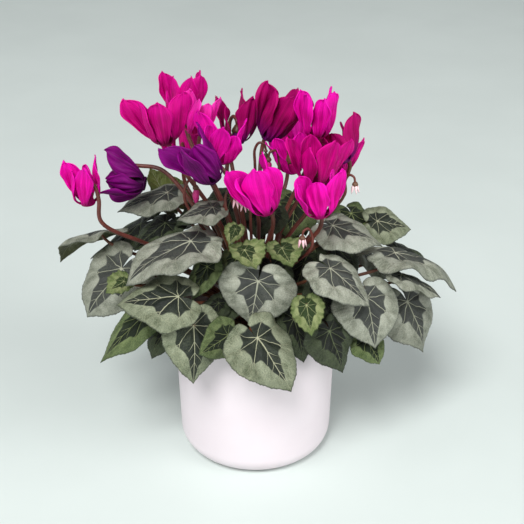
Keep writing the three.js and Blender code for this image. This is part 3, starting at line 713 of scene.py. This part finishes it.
def build_leaf_material(name, *colours, star_size, star_points):
    """Margin, star, veins and dark edge on the upper side, and the plainer underside."""
    margin, margin_cloud, star, vein, underside = map(screen, colours)
    material, tree, shader = new_finish(f"leaf_{name}", IOR=1.42, Specular_IOR_Level=0.45)
    pattern = place_group(tree, leaf_pattern, {"Star Size": star_size, "Star Points": star_points})
    clouds = place_group(tree, mottle, {"Scale": 55.0, "Fine Scale": 1100.0})
    patches_and_groove_shade = times_plus(tree, pattern["Speckle"], 0.35, times(tree, clouds["Cloud"], 0.45))
    # Random patches, plus painted shade: the margin darkens close to the veins, in the grooves that the
    # quilting sinks there
    patches_and_groove_shade = math_node(tree, "MULTIPLY_ADD", pattern["Vein Groove Shade"], 0.4, patches_and_groove_shade, clamp=True)
    # The rim turns darker towards the edge, its own tone, with painted shade along its radial pleats
    rim_tint_and_pleat_shade = times_plus(tree, pattern["Wrinkle"], 0.3, 0.2)
    rim_tint_and_pleat_shade = times(tree, rim_tint_and_pleat_shade, between(tree, pattern["Edge"], 0.6, 0.98))
    star_fleck = times(tree, pattern["Speckle"], clouds["Cloud"])
    star_tone = blend_colour(tree, times(tree, star_fleck, 0.42), star, margin_cloud)
    on_star = between(tree, pattern["Star"], 0, 1, 0.38, 0.85)
    top = layered(
        tree, margin,
        (patches_and_groove_shade, margin_cloud),
        (rim_tint_and_pleat_shade, margin_cloud),
        (times(tree, pattern["Halo"], 0.3), margin),
        (times(tree, pattern["Net"], 0.22), vein),
        (times(tree, pattern["Star"], 0.97), star_tone),
        (times(tree, pattern["Veins"], on_star), vein),
        (between(tree, pattern["Edge"], 0.07, 0.01), vein),
        (times(tree, between(tree, pattern["Edge"], 0.955, 1.0), 0.6), star),
    )
    below = layered(
        tree, underside,
        (times(tree, pattern["Veins"], 0.5), vein),
        (times(tree, clouds["Cloud"], 0.35), star),
    )
    both = blend_colour(tree, pattern["Side"], below, top)
    brightness = between(tree, pattern["Luck"], 0, 1, 0.86, 1.1, smooth=False)
    own_tone = add_node(tree, "ShaderNodeHueSaturation", {"Color": both, "Value": brightness}).outputs[0]
    roughness = between(tree, pattern["Speckle"], 0, 1, 0.42, 0.56)
    finish_surface(tree, shader, own_tone, roughness, pattern["Height"], 0.8, 0.0010)
    return material


leaf_materials = {
    name: build_leaf_material(name, *colours, star_size=size, star_points=points)
    for name, (*colours, size, points) in LEAF_FINISHES.items()
}
shared_blade_faces = blade_faces()
leaf_luck = random.Random(21)


def show_blade(name, leaf, number):
    """A blade as a piece: each point is marked with its place, its side (1 is above) and its luck."""
    points, places = blade_points(leaf, number)
    both, closed, rim = thick_sheet(points, shared_blade_faces, BLADE_THICKNESS)
    blade = shown_mesh(name, both, closed, rim)
    luck = leaf_luck.random()
    mark_points(blade, "leaf_place", np.vstack([places, places]))
    side = np.repeat([1.0, 0.0], len(points))
    mark_points(blade, "leaf_marks", np.stack([side, np.full(len(side), luck), side * 0], -1))
    blade.data.materials.append(leaf_materials[leaf[6]])
    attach(blade, "root")
    return blade


for number, leaf in enumerate(LEAVES, start=1):
    blade = show_blade(f"leaf_{number:02d}_blade", leaf, number)
    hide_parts(f"leaf_{number:02d}")
for number, leaf in enumerate(INNER_LEAVES, start=1):
    show_blade(f"inner_leaf_{number:02d}_blade", leaf, len(LEAVES) + number)


# THE LEAF STALKS
# Round, slightly fleshy, reddish-brown stalks that rise out of the crown in a ring, arch over
# the rim of the planter and carry each blade at its notch.
LEAF_STALK_RADIUS = 0.0015
CROWN_RADIUS = 0.015
CROWN_TOP = TUBER_BASE + TUBER_HEIGHT
STALK_ARCH = 0.036
LEAF_FOOT_SUNK = 0.007


def tube(way, radii, sides):
    """Points and faces of a round stalk along points, with closed ends.

    The first side is any way that no stalk starts along; it is then carried along without twist.
    """
    way = np.array(way)
    tangents = np.gradient(way, axis=0)
    tangents /= np.linalg.norm(tangents, axis=1)[:, None]
    side = unit(np.cross(tangents[0], [0.3, 0.9, 0.1]))
    points = []
    for centre, tangent, radius in zip(way, tangents, radii):
        side = unit(side - tangent * np.dot(side, tangent))
        other = np.cross(tangent, side)
        for i in range(sides):
            angle = 2 * math.pi * i / sides
            points.append(centre + radius * (side * math.cos(angle) + other * math.sin(angle)))
    faces = []
    for row in range(len(way) - 1):
        for i in range(sides):
            j = (i + 1) % sides
            faces.append((row * sides + i, row * sides + j, (row + 1) * sides + j, (row + 1) * sides + i))
    faces.append(tuple(reversed(range(sides))))
    last = (len(way) - 1) * sides
    faces.append(tuple(range(last, last + sides)))
    return points, faces


def gather(parts):
    """Several closed forms as the points and faces of one piece."""
    points = []
    faces = []
    for part_points, part_faces in parts:
        first = len(points)
        points += [tuple(p) for p in part_points]
        faces += [tuple(i + first for i in face) for face in part_faces]
    return points, faces


def crown_foot(place, share, sunk):
    """Where a stalk grows out of the crown, on the side of what it carries."""
    foot = level_way(math.atan2(place[1], place[0])) * CROWN_RADIUS * share
    foot[2] = CROWN_TOP - sunk
    return foot


def leaf_stalk_way(leaf, steps):
    """A curve up out of the crown, over and into the underside of the blade at its joint."""
    joint, tip, width, roll, bend, arch, leaf_finish = leaf
    along, left, over, length = leaf_frame(joint, tip, math.radians(roll))
    foot = crown_foot(joint, 1.0, LEAF_FOOT_SUNK)
    facing = unit(over - along * 0.5 * math.radians(bend))
    end = joint - facing * BLADE_THICKNESS * 0.3
    reach = end - foot
    rise = foot + [reach[0] * 0.12, reach[1] * 0.12, max(reach[2] * 0.55 + 0.012, STALK_ARCH)]
    under = end - facing * (0.35 * length + 0.006)
    t = np.linspace(0, 1, steps + 1)[:, None]
    return (1 - t) ** 3 * foot + 3 * (1 - t) ** 2 * t * rise + 3 * (1 - t) * t ** 2 * under + t ** 3 * end


stalk_parts = []
for leaf in LEAVES + INNER_LEAVES:
    way = leaf_stalk_way(leaf, 22)
    thinning = np.linspace(1.12, 0.86, len(way))
    stalk_parts.append(tube(way, LEAF_STALK_RADIUS * thinning, 10))
leaf_stalks = shown_mesh("leaf_stalks", *gather(stalk_parts))


def build_stalk_material(name, *colours):
    """Smooth skin of stalks, calyxes and buds, clouded from light to dark with a fine blush."""
    light, dark, blush = map(screen, colours)
    material, tree, shader = new_finish(name, IOR=1.42)
    clouds = place_group(tree, mottle, {"Scale": 55.0, "Fine Scale": 1600.0})
    skin = layered(tree, dark, (clouds["Cloud"], light), (times(tree, clouds["Grain"], 0.35), blush))
    roughness = between(tree, clouds["Grain"], 0, 1, 0.36, 0.5)
    finish_surface(tree, shader, skin, roughness, clouds["Height"], 0.3, 0.0004)
    return material


leaf_stalk_skin = build_stalk_material(
    "leaf_stalk_skin", (116, 62, 46), (66, 34, 26), (104, 82, 50))
leaf_stalks.data.materials.append(leaf_stalk_skin)
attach(leaf_stalks, "root")
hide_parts("tuber_and_stems")


# THE FLOWER STALKS
# Stouter reddish-brown stalks, each coming up beside its flower's mouth and hooking over above
# the petals to the calyx, a small cup of five pointed sepals that holds the corolla.
FLOWER_STALK_RADIUS = 0.0016
SLIM_END = 8
TUBE_HEIGHT = 0.009
CALYX_HEIGHT = 0.004
COROLLA_SIDES = 30
FLOWER_FOOT_SUNK = 0.005

# Way of a stalk's hook from below the mouth to the calyx: out from the mouth, and up its axis
HOOK = [
    (0.013, -0.014), (0.014, 0.006), (0.012, 0.016),
    (0.006, 0.0205), (0.001, 0.018), (0.0, TUBE_HEIGHT + CALYX_HEIGHT),
]

# Mouth of the flower, lean way, tilt, stalk's side (degrees), petal length, breadth, flare,
# colour of the petals
BLOOMS = [
    ((-0.069, -0.020, 0.294), 180, 12, 90, 0.038, 0.34, 0.20, "magenta"),
    ((-0.058, 0.046, 0.289), 90, 10, 90, 0.036, 0.31, 0.16, "magenta"),
    ((-0.049, 0.014, 0.289), 20, 14, 60, 0.029, 0.26, 0.05, "light"),
    ((-0.015, 0.048, 0.267), 90, 8, 120, 0.036, 0.30, 0.20, "deep"),
    ((-0.027, -0.015, 0.276), 0, 8, 60, 0.031, 0.31, 0.20, "hot"),
    ((-0.030, -0.054, 0.277), 180, 36, 60, 0.037, 0.34, 0.14, "purple"),
    ((-0.135, -0.014, 0.239), 180, 4, -40, 0.032, 0.30, 0.0, "hot"),
    ((-0.091, 0.006, 0.247), 174, 82, 0, 0.031, 0.38, 0.15, "purple"),
    ((0.010, -0.048, 0.247), 180, 20, 90, 0.039, 0.34, 0.10, "hot"),
    ((0.011, 0.034, 0.276), 0, 20, 90, 0.043, 0.30, 0.06, "deep"),
    ((0.050, 0.003, 0.290), 0, 0, 90, 0.037, 0.28, 0.10, "hot"),
    ((0.048, -0.017, 0.258), 0, 4, 60, 0.038, 0.31, 0.24, "magenta"),
    ((0.051, -0.054, 0.247), 180, 8, 90, 0.034, 0.33, 0.16, "hot"),
    ((0.074, 0.018, 0.263), 180, 24, 90, 0.032, 0.36, 0.12, "deep"),
    ((0.033, 0.008, 0.258), 180, 20, 60, 0.030, 0.28, 0.10, "hot"),
    ((-0.062, 0.078, 0.232), 110, 14, 270, 0.040, 0.28, 0.25, "magenta"),
    ((0.028, 0.074, 0.240), 80, 10, 270, 0.042, 0.28, 0.25, "hot"),
    ((0.062, 0.060, 0.222), 60, 14, 220, 0.040, 0.28, 0.25, "magenta"),
]

# How far the middle of a flower's stalk bows out, for the flowers whose stalks do
STALK_BOWS = {7: (-0.030, 0.014, 0), 8: (0, -0.016, 0), 13: (0.009, 0.002, 0), 14: (0.006, 0.008, 0)}


def bloom_frame(mouth, lean_deg, tilt_deg, side_deg):
    """The flower's axis up from its mouth, out to the side of its stalk, and across."""
    tilt = math.radians(tilt_deg)
    axis = level_way(math.radians(lean_deg)) * math.sin(tilt)
    axis[2] = math.cos(tilt)
    out = level_way(math.radians(side_deg))
    out = unit(out - axis * np.dot(out, axis))
    return np.array(mouth), axis, out, np.cross(axis, out)


def smooth_way(knots, steps):
    """A centripetal curve through points, with a number of steps between each two."""
    knots = [np.array(k, float) for k in knots]
    knots = [2 * knots[0] - knots[1]] + knots + [2 * knots[-1] - knots[-2]]
    way = []
    for p0, p1, p2, p3 in zip(knots, knots[1:], knots[2:], knots[3:]):
        t1 = math.sqrt(np.linalg.norm(p1 - p0))
        t2 = t1 + math.sqrt(np.linalg.norm(p2 - p1))
        t3 = t2 + math.sqrt(np.linalg.norm(p3 - p2))
        for t in np.linspace(t1, t2, steps, endpoint=False):
            a1 = (t1 - t) / t1 * p0 + t / t1 * p1
            a2 = (t2 - t) / (t2 - t1) * p1 + (t - t1) / (t2 - t1) * p2
            a3 = (t3 - t) / (t3 - t2) * p2 + (t - t2) / (t3 - t2) * p3
            b1 = (t2 - t) / t2 * a1 + t / t2 * a2
            b2 = (t3 - t) / (t3 - t1) * a2 + (t - t1) / (t3 - t1) * a3
            way.append((t2 - t) / (t2 - t1) * b1 + (t - t1) / (t2 - t1) * b2)
    way.append(knots[-2])
    return way


def stand_on(points, origin, axis):
    """Turns points from +Z to an axis and moves them to a place."""
    turn = Vector((0, 0, 1)).rotation_difference(Vector(axis))
    return [Vector(origin) + turn @ Vector(p) for p in points]


def calyx_form():
    """A cup that opens downward into five pointed sepals, closed over the stalk's end."""
    points, faces = turned([
        (0.0, TUBE_HEIGHT + 0.0006), (0.0034, TUBE_HEIGHT + 0.0004), (0.0046, TUBE_HEIGHT - 0.0004),
        (0.0049, TUBE_HEIGHT + 0.0004), (0.0044, TUBE_HEIGHT + 0.002), (0.0031, TUBE_HEIGHT + 0.0038),
        (0.0021, TUBE_HEIGHT + 0.0055), (0.0, TUBE_HEIGHT + 0.0058),
    ], COROLLA_SIDES)
    shaped = []
    for x, y, z in points:
        way = math.atan2(y, x)
        tip = max(0.0, math.cos(5 * way)) ** 1.5
        low = z < TUBE_HEIGHT + 0.0015 and math.hypot(x, y) > 0.004
        shaped.append((x, y, z - 0.0028 * tip if low else z))
    return shaped, faces


flower_stalk_parts = []
calyx_parts = []
calyx_points, calyx_faces = calyx_form()
for number, (mouth, lean, tilt, side, length, broad, flare, colour) in enumerate(BLOOMS, start=1):
    mouth, axis, out, across = bloom_frame(mouth, lean, tilt, side)
    foot = crown_foot(mouth, 0.5, FLOWER_FOOT_SUNK)
    hook = [mouth + out * outward + axis * up for outward, up in HOOK]
    rise = (foot + hook[0]) / 2 * (0.75, 0.75, 1.0) + (0, 0, 0.010) + STALK_BOWS.get(number, (0, 0, 0))
    way = smooth_way([foot, rise] + hook, 9)
    plain = np.linspace(1.15, 0.95, len(way) - SLIM_END)
    slimming = np.concatenate([plain, np.linspace(0.95, 0.8, SLIM_END)])
    flower_stalk_parts.append(tube(way, FLOWER_STALK_RADIUS * slimming, 12))
    calyx_parts.append((stand_on(calyx_points, mouth, axis), calyx_faces))
flower_stalks = shown_mesh("flower_stalks", *gather(flower_stalk_parts))
flower_stalk_skin = build_stalk_material(
    "flower_stalk_skin", (104, 50, 42), (58, 27, 23), (132, 70, 60))
flower_stalks.data.materials.append(flower_stalk_skin)
calyxes = shown_mesh("calyxes", *gather(calyx_parts))
calyx_skin = build_stalk_material("calyx_skin", (104, 62, 50), (62, 34, 30), (110, 100, 56))
calyxes.data.materials.append(calyx_skin)
for piece in (flower_stalks, calyxes):
    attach(piece, "root")
    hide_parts("tuber_and_stems")


# THE FLOWERS
# Each corolla is one soft sheet: a short tube that hangs mouth down, and five broad petals that
# turn back up from the mouth, twist a little and flutter at their tips.
PETAL_THICKNESS = 0.00045
PETAL_TURNS = (62, 121, 180, 239, 298)
PETAL_ROWS = 22
PETAL_COLUMNS = 17
PETAL_HALF_AT_MOUTH = 0.0024
MOUTH_RADIUS = 0.0055
TUBE_TOP_RADIUS = 0.0042
TWIST_DEG = 14

# How far a petal rolls about its length; those of the fourth flower roll further
ROLL_DEG = 45
FURTHER_ROLLED = {4: 62}

# Heights of a petal's unevenness and of its tip, for a petal of length 1
FLUTTER = 0.080
CREASE = 0.028
CRUMPLE = 0.022
FOLDS = 0.024
TIP_NOTCH = 0.012
TIP_POINT = 0.09


def petal_points(frame_of_bloom, number, place, turn_deg, length, broad, flare):
    """Mid-surface points of one petal, with each point's share of its length and breadth.

    The number of the flower, from 0, and the petal's place in it make each petal a little different.
    """
    mouth, axis, out, across = frame_of_bloom
    sway = math.sin(12.9 * number + 3.1 * place)
    toss = math.cos(7.7 * number + 2.3 * place)
    length = length * (1 + 0.08 * sway)
    part = 1 - (1 - np.linspace(0, 1, PETAL_ROWS)[:, None]) ** 1.4
    edge = np.linspace(-1, 1, PETAL_COLUMNS)[None, :]
    rise = length * part ** 1.15
    spread = flare * (1 + 0.8 * toss)
    curl = 0.1 * length * part ** 3 * sway
    radius = MOUTH_RADIUS + 0.006 * (1 - np.exp(-part / 0.12)) + spread * length * part + curl
    full = broad * length * (0.12 + 1.15 * part) * np.sqrt(np.clip(1 - part ** 3.4, 0.0004, 1))
    near_mouth = np.clip(1 - part / 0.22, 0, 1)
    half = PETAL_HALF_AT_MOUTH * near_mouth + full * (1 - near_mouth)
    corner = np.exp(-((part - 0.64 - 0.12 * toss * np.sign(edge)) / 0.12) ** 2)
    ragged = 0.07 * part * np.sin(17 * part + 5 * sway + 2 * np.sign(edge))
    half = half * (1 + (0.16 * corner + ragged) * np.abs(edge) ** 2.5)
    angle = math.radians(turn_deg) + math.radians(TWIST_DEG + 14 * sway) * part
    radial = out * np.cos(angle)[..., None] + across * np.sin(angle)[..., None]
    around = np.cross(axis, radial)
    roll = math.radians(FURTHER_ROLLED.get(number + 1, ROLL_DEG) + 25 * toss) * part
    sideways = around * np.cos(roll)[..., None] + radial * np.sin(roll)[..., None]
    faces_out = radial * np.cos(roll)[..., None] - around * np.sin(roll)[..., None]
    cup = -0.25 * half * edge ** 2
    flutter = FLUTTER * length * (part ** 1.5 - 0.8 * part ** 6) * np.abs(edge) ** 1.5
    flutter = flutter * np.sin(8 * part + 2.1 * edge + 1.9 * number + 1.3 * place)
    crease = -CREASE * length * np.exp(-(edge / 0.13) ** 2) * np.sin(math.pi * part)
    crumple = CRUMPLE * length * part * np.sin(9 * part + 4 * edge + 3.7 * number)
    crumple = crumple * np.cos(6 * edge - 5 * part + place)
    folds = FOLDS * length * np.sin(8 * edge + 5 * part + 2.9 * number + 2.1 * place)
    folds = folds * np.sin(math.pi * part)
    uneven = flutter + crease + folds + crumple
    tip_notch = TIP_NOTCH * length * np.exp(-((edge - 0.3 * toss) / 0.25) ** 2) * part ** 12
    tip_point = TIP_POINT * length * part ** 4 * np.exp(-((edge - 0.4 * toss) / 0.5) ** 2)
    tip_point = tip_point * (0.6 + 0.4 * sway)
    points = mouth + axis * (rise - tip_notch + tip_point)[..., None] + radial * (radius + cup)[..., None]
    points = points + sideways * (half * edge)[..., None] + faces_out * uneven[..., None]
    shares = np.stack(np.broadcast_arrays(part, edge, 0.0), -1)
    return points.reshape(-1, 3), shares.reshape(-1, 3)


def grid_faces(rows, columns):
    faces = []
    for row in range(rows - 1):
        for column in range(columns - 1):
            a = row * columns + column
            faces.append((a, a + 1, a + columns + 1, a + columns))
    return faces


def corolla_tube(frame_of_bloom):
    """The short tube between calyx and mouth, with a rolled lip at the mouth."""
    mouth, axis, out, across = frame_of_bloom
    profile = [(TUBE_TOP_RADIUS, TUBE_HEIGHT), (0.0046, 0.006), (0.0050, 0.003), (0.0055, 0.001)]
    profile += [(0.0060, -0.0004), (0.0056, -0.0012), (0.0048, -0.0006), (0.0043, 0.001)]
    profile += [(0.0042, 0.003), (0.0040, 0.006), (0.0036, TUBE_HEIGHT - 0.0002)]
    points, faces = turned(profile, COROLLA_SIDES)
    last = (len(profile) - 1) * COROLLA_SIDES
    for i in range(COROLLA_SIDES):
        j = (i + 1) % COROLLA_SIDES
        faces.append([last + i, last + j, j, i])
    return np.array(stand_on(points, mouth, axis)), faces


def build_petal_veins():
    """Fine lengthwise veins of a petal, from its point's share of length and breadth."""
    tree, given = new_group("petal_veins", {"Fineness": 9.0, "Throat Reach": 0.22})
    share = split(tree, read_marks(tree, "petal_share"))
    across = times(tree, share["Y"], given["Fineness"])
    drawn_out = combine(tree, times(tree, share["X"], 0.9), across, times(tree, share["Z"], 17.0))
    lines = noise(tree, drawn_out, 1.6, 3.0)
    return put_out(tree, {
        "Along": share["X"],
        "Edge": math_node(tree, "ABSOLUTE", share["Y"]),
        "Veins": between(tree, lines, 0.35, 0.68),
        "Throat": between(tree, share["X"], given["Throat Reach"], 0.0),
        "Height": lines,
    })


petal_veins = build_petal_veins()

# Body of the petal, its vein tone (also the painted shade in its crease), its edge and tip, its throat and
# how far that reaches
PETAL_COLOURS = {
    "hot": ((230, 0, 162), (160, 0, 92), (252, 18, 196), (140, 0, 78), 0.3),
    "magenta": ((206, 0, 130), (136, 0, 72), (228, 4, 156), (108, 0, 58), 0.4),
    "deep": ((170, 0, 98), (108, 0, 56), (194, 2, 120), (76, 0, 92), 0.6),
    "purple": ((118, 0, 108), (62, 0, 58), (156, 6, 140), (40, 0, 44), 0.5),
    "light": ((240, 26, 172), (206, 4, 128), (250, 80, 200), (190, 0, 110), 0.3),
}


def build_petal_material(name, *colours, throat_reach):
    """A thin, slightly translucent petal, clouded and veined, with its throat in another tone."""
    body, vein, tip, throat = map(screen, colours)
    material, tree, shader = new_finish(
        f"petal_{name}", IOR=1.35, Specular_IOR_Level=0.2, Subsurface_Weight=0.12,
        Subsurface_Radius=(0.003, 0.0005, 0.0015), Subsurface_Scale=0.4)
    veins = place_group(tree, petal_veins, {"Fineness": 9.0, "Throat Reach": throat_reach})
    clouds = place_group(tree, mottle, {"Scale": 75.0, "Fine Scale": 900.0})
    dusky = times_plus(tree, clouds["Cloud"], 0.4, times(tree, veins["Veins"], 0.5))
    outer = between(tree, veins["Along"], 0.55, 1.0)
    tone = layered(
        tree, body,
        (dusky, vein),
        # Painted shade: each petal darkens to its vein tone along its middle, where it is creased
        (between(tree, veins["Edge"], 0.16, 0.0, 0, 0.4), vein),
        (times(tree, outer, 0.35), tip),
        (between(tree, veins["Edge"], 0.82, 1.0, 0, 0.35), tip),
        (times(tree, veins["Throat"], 0.8), throat),
    )
    roughness = between(tree, veins["Veins"], 0, 1, 0.5, 0.64)
    finish_surface(tree, shader, tone, roughness, veins["Height"], 0.5, 0.0007)
    return material


petal_materials = {
    name: build_petal_material(name, *colours, throat_reach=reach)
    for name, (*colours, reach) in PETAL_COLOURS.items()
}
petal_faces = grid_faces(PETAL_ROWS, PETAL_COLUMNS)
petal_luck = random.Random(5)
for number, (mouth, lean, tilt, side, length, broad, flare, colour) in enumerate(BLOOMS):
    node_name = f"bloom_{number + 1:02d}"
    placed = bloom_frame(mouth, lean, tilt, side)
    parts = []
    shares = []
    flat = []
    face_count = 0
    for place, turn_deg in enumerate(PETAL_TURNS):
        points, share = petal_points(placed, number, place, turn_deg, length, broad, flare)
        share[:, 2] = petal_luck.random()
        both, closed, rim = thick_sheet(points, petal_faces, PETAL_THICKNESS)
        parts.append((both, closed))
        shares += [share, share]
        flat += [face_count + i for i in rim]
        face_count += len(closed)
    tube_points, tube_faces = corolla_tube(placed)
    parts.append((tube_points, tube_faces))
    shares.append(np.zeros((len(tube_points), 3)))
    corolla_points, corolla_faces = gather(parts)
    petals = shown_mesh(f"{node_name}_petals", corolla_points, corolla_faces, flat)
    mark_points(petals, "petal_share", np.vstack(shares))
    petals.data.materials.append(petal_materials[colour])
    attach(petals, "root")
    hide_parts(node_name)


# THE BUDS AND THE SPENT FLOWERS
# Buds hang from hooked stalks with their petals still wound into a point, the youngest small and
# green. Where a flower has dropped, its calyx stays: five pale sepals round the thread of the style.
BUD_LENGTH = 0.015
BUD_RADIUS = 0.0031
GREEN_BUD_SHARE = 0.62
BUD_HOOK_REACH = 0.009
SEPAL_LENGTH = 0.0075

# Where the calyx is, the side on which its stalk comes up, and what hangs there
NODDING = [
    ((0.009, 0.000, 0.279), 170, "green bud"),
    ((-0.047, -0.020, 0.256), 200, "bud"),
    ((0.011, -0.005, 0.274), 20, "bud"),
    ((-0.014, -0.040, 0.256), 160, "spent"),
    ((-0.008, -0.038, 0.252), 60, "spent"),
    ((0.038, -0.040, 0.221), 30, "spent"),
    ((0.082, 0.000, 0.250), 150, "spent"),
]


def bud_form():
    """A pointed spindle of five petals wound round each other, hanging below its calyx."""
    profile = [(0.0, 0.0)]
    for share in np.linspace(0.03, 0.97, 16):
        swell = math.sin(math.pi * share ** 0.75) ** 0.8
        profile.append((BUD_RADIUS * swell, -BUD_LENGTH * share))
    profile.append((0.0, -BUD_LENGTH))
    points, faces = turned(list(reversed(profile)), 40)
    wound = []
    for x, y, z in points:
        way = math.atan2(y, x) + 190 * z
        swell = 1 - 0.16 * abs(math.cos(2.5 * way))
        wound.append((x * swell, y * swell, z))
    return wound, faces


def star_of_sepals():
    """Five narrow pointed sepals that hang open, and the style between them."""
    parts = [tube([(0, 0, 0), (0.0003, 0, -0.003), (0.0004, 0, -0.006)], (0.0005, 0.0004, 0.0002), 8)]
    for sepal in range(5):
        way = 2 * math.pi * sepal / 5
        outward = level_way(way)
        line = [
            outward * 0.0012 + [0, 0, 0.0005],
            outward * 0.0022 + [0, 0, -SEPAL_LENGTH * 0.35],
            outward * 0.0030 + [0, 0, -SEPAL_LENGTH * 0.7],
            outward * 0.0036 + [0, 0, -SEPAL_LENGTH],
        ]
        parts.append(tube(line, (0.0010, 0.0011, 0.0007, 0.0001), 8))
    return gather(parts)


CAP_PROFILE = [(0.0, -0.0022), (0.0024, -0.0022), (0.0026, -0.0010), (0.0016, 0.0008), (0.0, 0.0012)]
BELOW_CAP = [0, 0, -0.0015]
cap_points, cap_faces = turned(CAP_PROFILE, 20)
hook_parts = []
cap_parts = []
hung_parts = {"green bud": [], "bud": [], "spent": []}
for place, side_deg, kind in NODDING:
    place = np.array(place)
    aside = level_way(math.radians(side_deg)) * BUD_HOOK_REACH
    foot = crown_foot(place, 0.4, FLOWER_FOOT_SUNK)
    below = place + aside + [0, 0, -0.012]
    rise = (foot + below) / 2 + [0, 0, 0.012]
    over = [place + aside * 0.6 + [0, 0, 0.006], place + aside * 0.15 + [0, 0, 0.005]]
    way = smooth_way([foot, rise, below, place + aside, *over, place], 8)
    hook_parts.append(tube(way, np.linspace(0.0014, 0.0009, len(way)), 10))
    share = GREEN_BUD_SHARE if kind == "green bud" else 1.0
    cap_parts.append(([tuple(place + share * np.array(p)) for p in cap_points], cap_faces))
    points, faces = star_of_sepals() if kind == "spent" else bud_form()
    hung_parts[kind].append(([tuple(place + share * np.array(p) + BELOW_CAP) for p in points], faces))
bud_stalks = shown_mesh("bud_stalks", *gather(hook_parts))
bud_stalks.data.materials.append(flower_stalk_skin)
bud_caps = shown_mesh("bud_caps", *gather(cap_parts))
bud_caps.data.materials.append(calyx_skin)
green_bud = shown_mesh("green_bud", *gather(hung_parts["green bud"]))
green_bud.data.materials.append(build_stalk_material(
    "green_bud_skin", (70, 84, 44), (38, 44, 30), (112, 124, 78)))
buds = shown_mesh("buds", *gather(hung_parts["bud"]))
buds.data.materials.append(build_stalk_material(
    "bud_skin", (214, 20, 130), (150, 0, 84), (240, 120, 180)))
spent_sepals = shown_mesh("spent_sepals", *gather(hung_parts["spent"]))
spent_sepals.data.materials.append(build_stalk_material(
    "spent_sepal_skin", (246, 214, 218), (226, 150, 176), (250, 232, 226)))
for piece in (bud_stalks, bud_caps):
    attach(piece, "root")
for piece in (green_bud, buds, spent_sepals):
    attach(piece, "root")


# THE FLOOR, THE LIGHT AND THE CAMERA
# A plain pale surface under soft light from large panels, seen from where the plant was seen.
FLOOR_HALF = 6.0
floor_corners = [(x * FLOOR_HALF, y * FLOOR_HALF, 0) for x, y in ((-1, -1), (1, -1), (1, 1), (-1, 1))]
floor = shown_mesh("floor", floor_corners, [(0, 1, 2, 3)], [0])
pale, tree, shader = new_finish("pale_floor", Roughness=0.9)
clouds = place_group(tree, mottle, {"Scale": 5.0, "Fine Scale": 120.0})
floor_tone = blend_colour(tree, clouds["Cloud"], screen((214, 223, 219)), screen((210, 219, 215)))
tree.links.new(floor_tone, shader.inputs["Base Color"])
floor.data.materials.append(pale)

world = bpy.data.worlds.new("studio")
bpy.context.scene.world = world
world.use_nodes = True
sky = world.node_tree.nodes["Background"]
sky.inputs["Color"].default_value = (0.93, 0.96, 1.0, 1.0)
sky.inputs["Strength"].default_value = 0.22


def soft_panel(name, place, aim, size, power):
    """A round area light that faces a point of the plant."""
    light = bpy.data.lights.new(name, "AREA")
    light.shape = "DISK"
    light.size = size
    light.energy = power
    panel = bpy.data.objects.new(name, light)
    panel.location = place
    panel.rotation_euler = (Vector(aim) - Vector(place)).to_track_quat("-Z", "Y").to_euler()
    bpy.context.scene.collection.objects.link(panel)


soft_panel("key_panel", (-0.9, -2.9, 3.9), (0, 0, 0.15), 2.0, 216.0)
soft_panel("fill_panel", (1.8, -1.2, 1.4), (0, 0, 0.2), 1.8, 34.0)
soft_panel("side_panel", (-2.0, -0.9, 1.3), (0, 0, 0.2), 1.8, 13.0)

LENS = 77.98
CAMERA_PLACE = (0.0059, -0.8485, 0.6282)
CAMERA_DOWN_DEG = 28
camera = bpy.data.objects.new("camera", bpy.data.cameras.new("camera"))
camera.data.lens = LENS
camera.data.sensor_width = 36.0
camera.location = CAMERA_PLACE
camera.rotation_euler = (math.radians(90 - CAMERA_DOWN_DEG), 0, 0)
bpy.context.scene.collection.objects.link(camera)
bpy.context.scene.camera = camera
bpy.context.scene.view_settings.view_transform = "Standard"
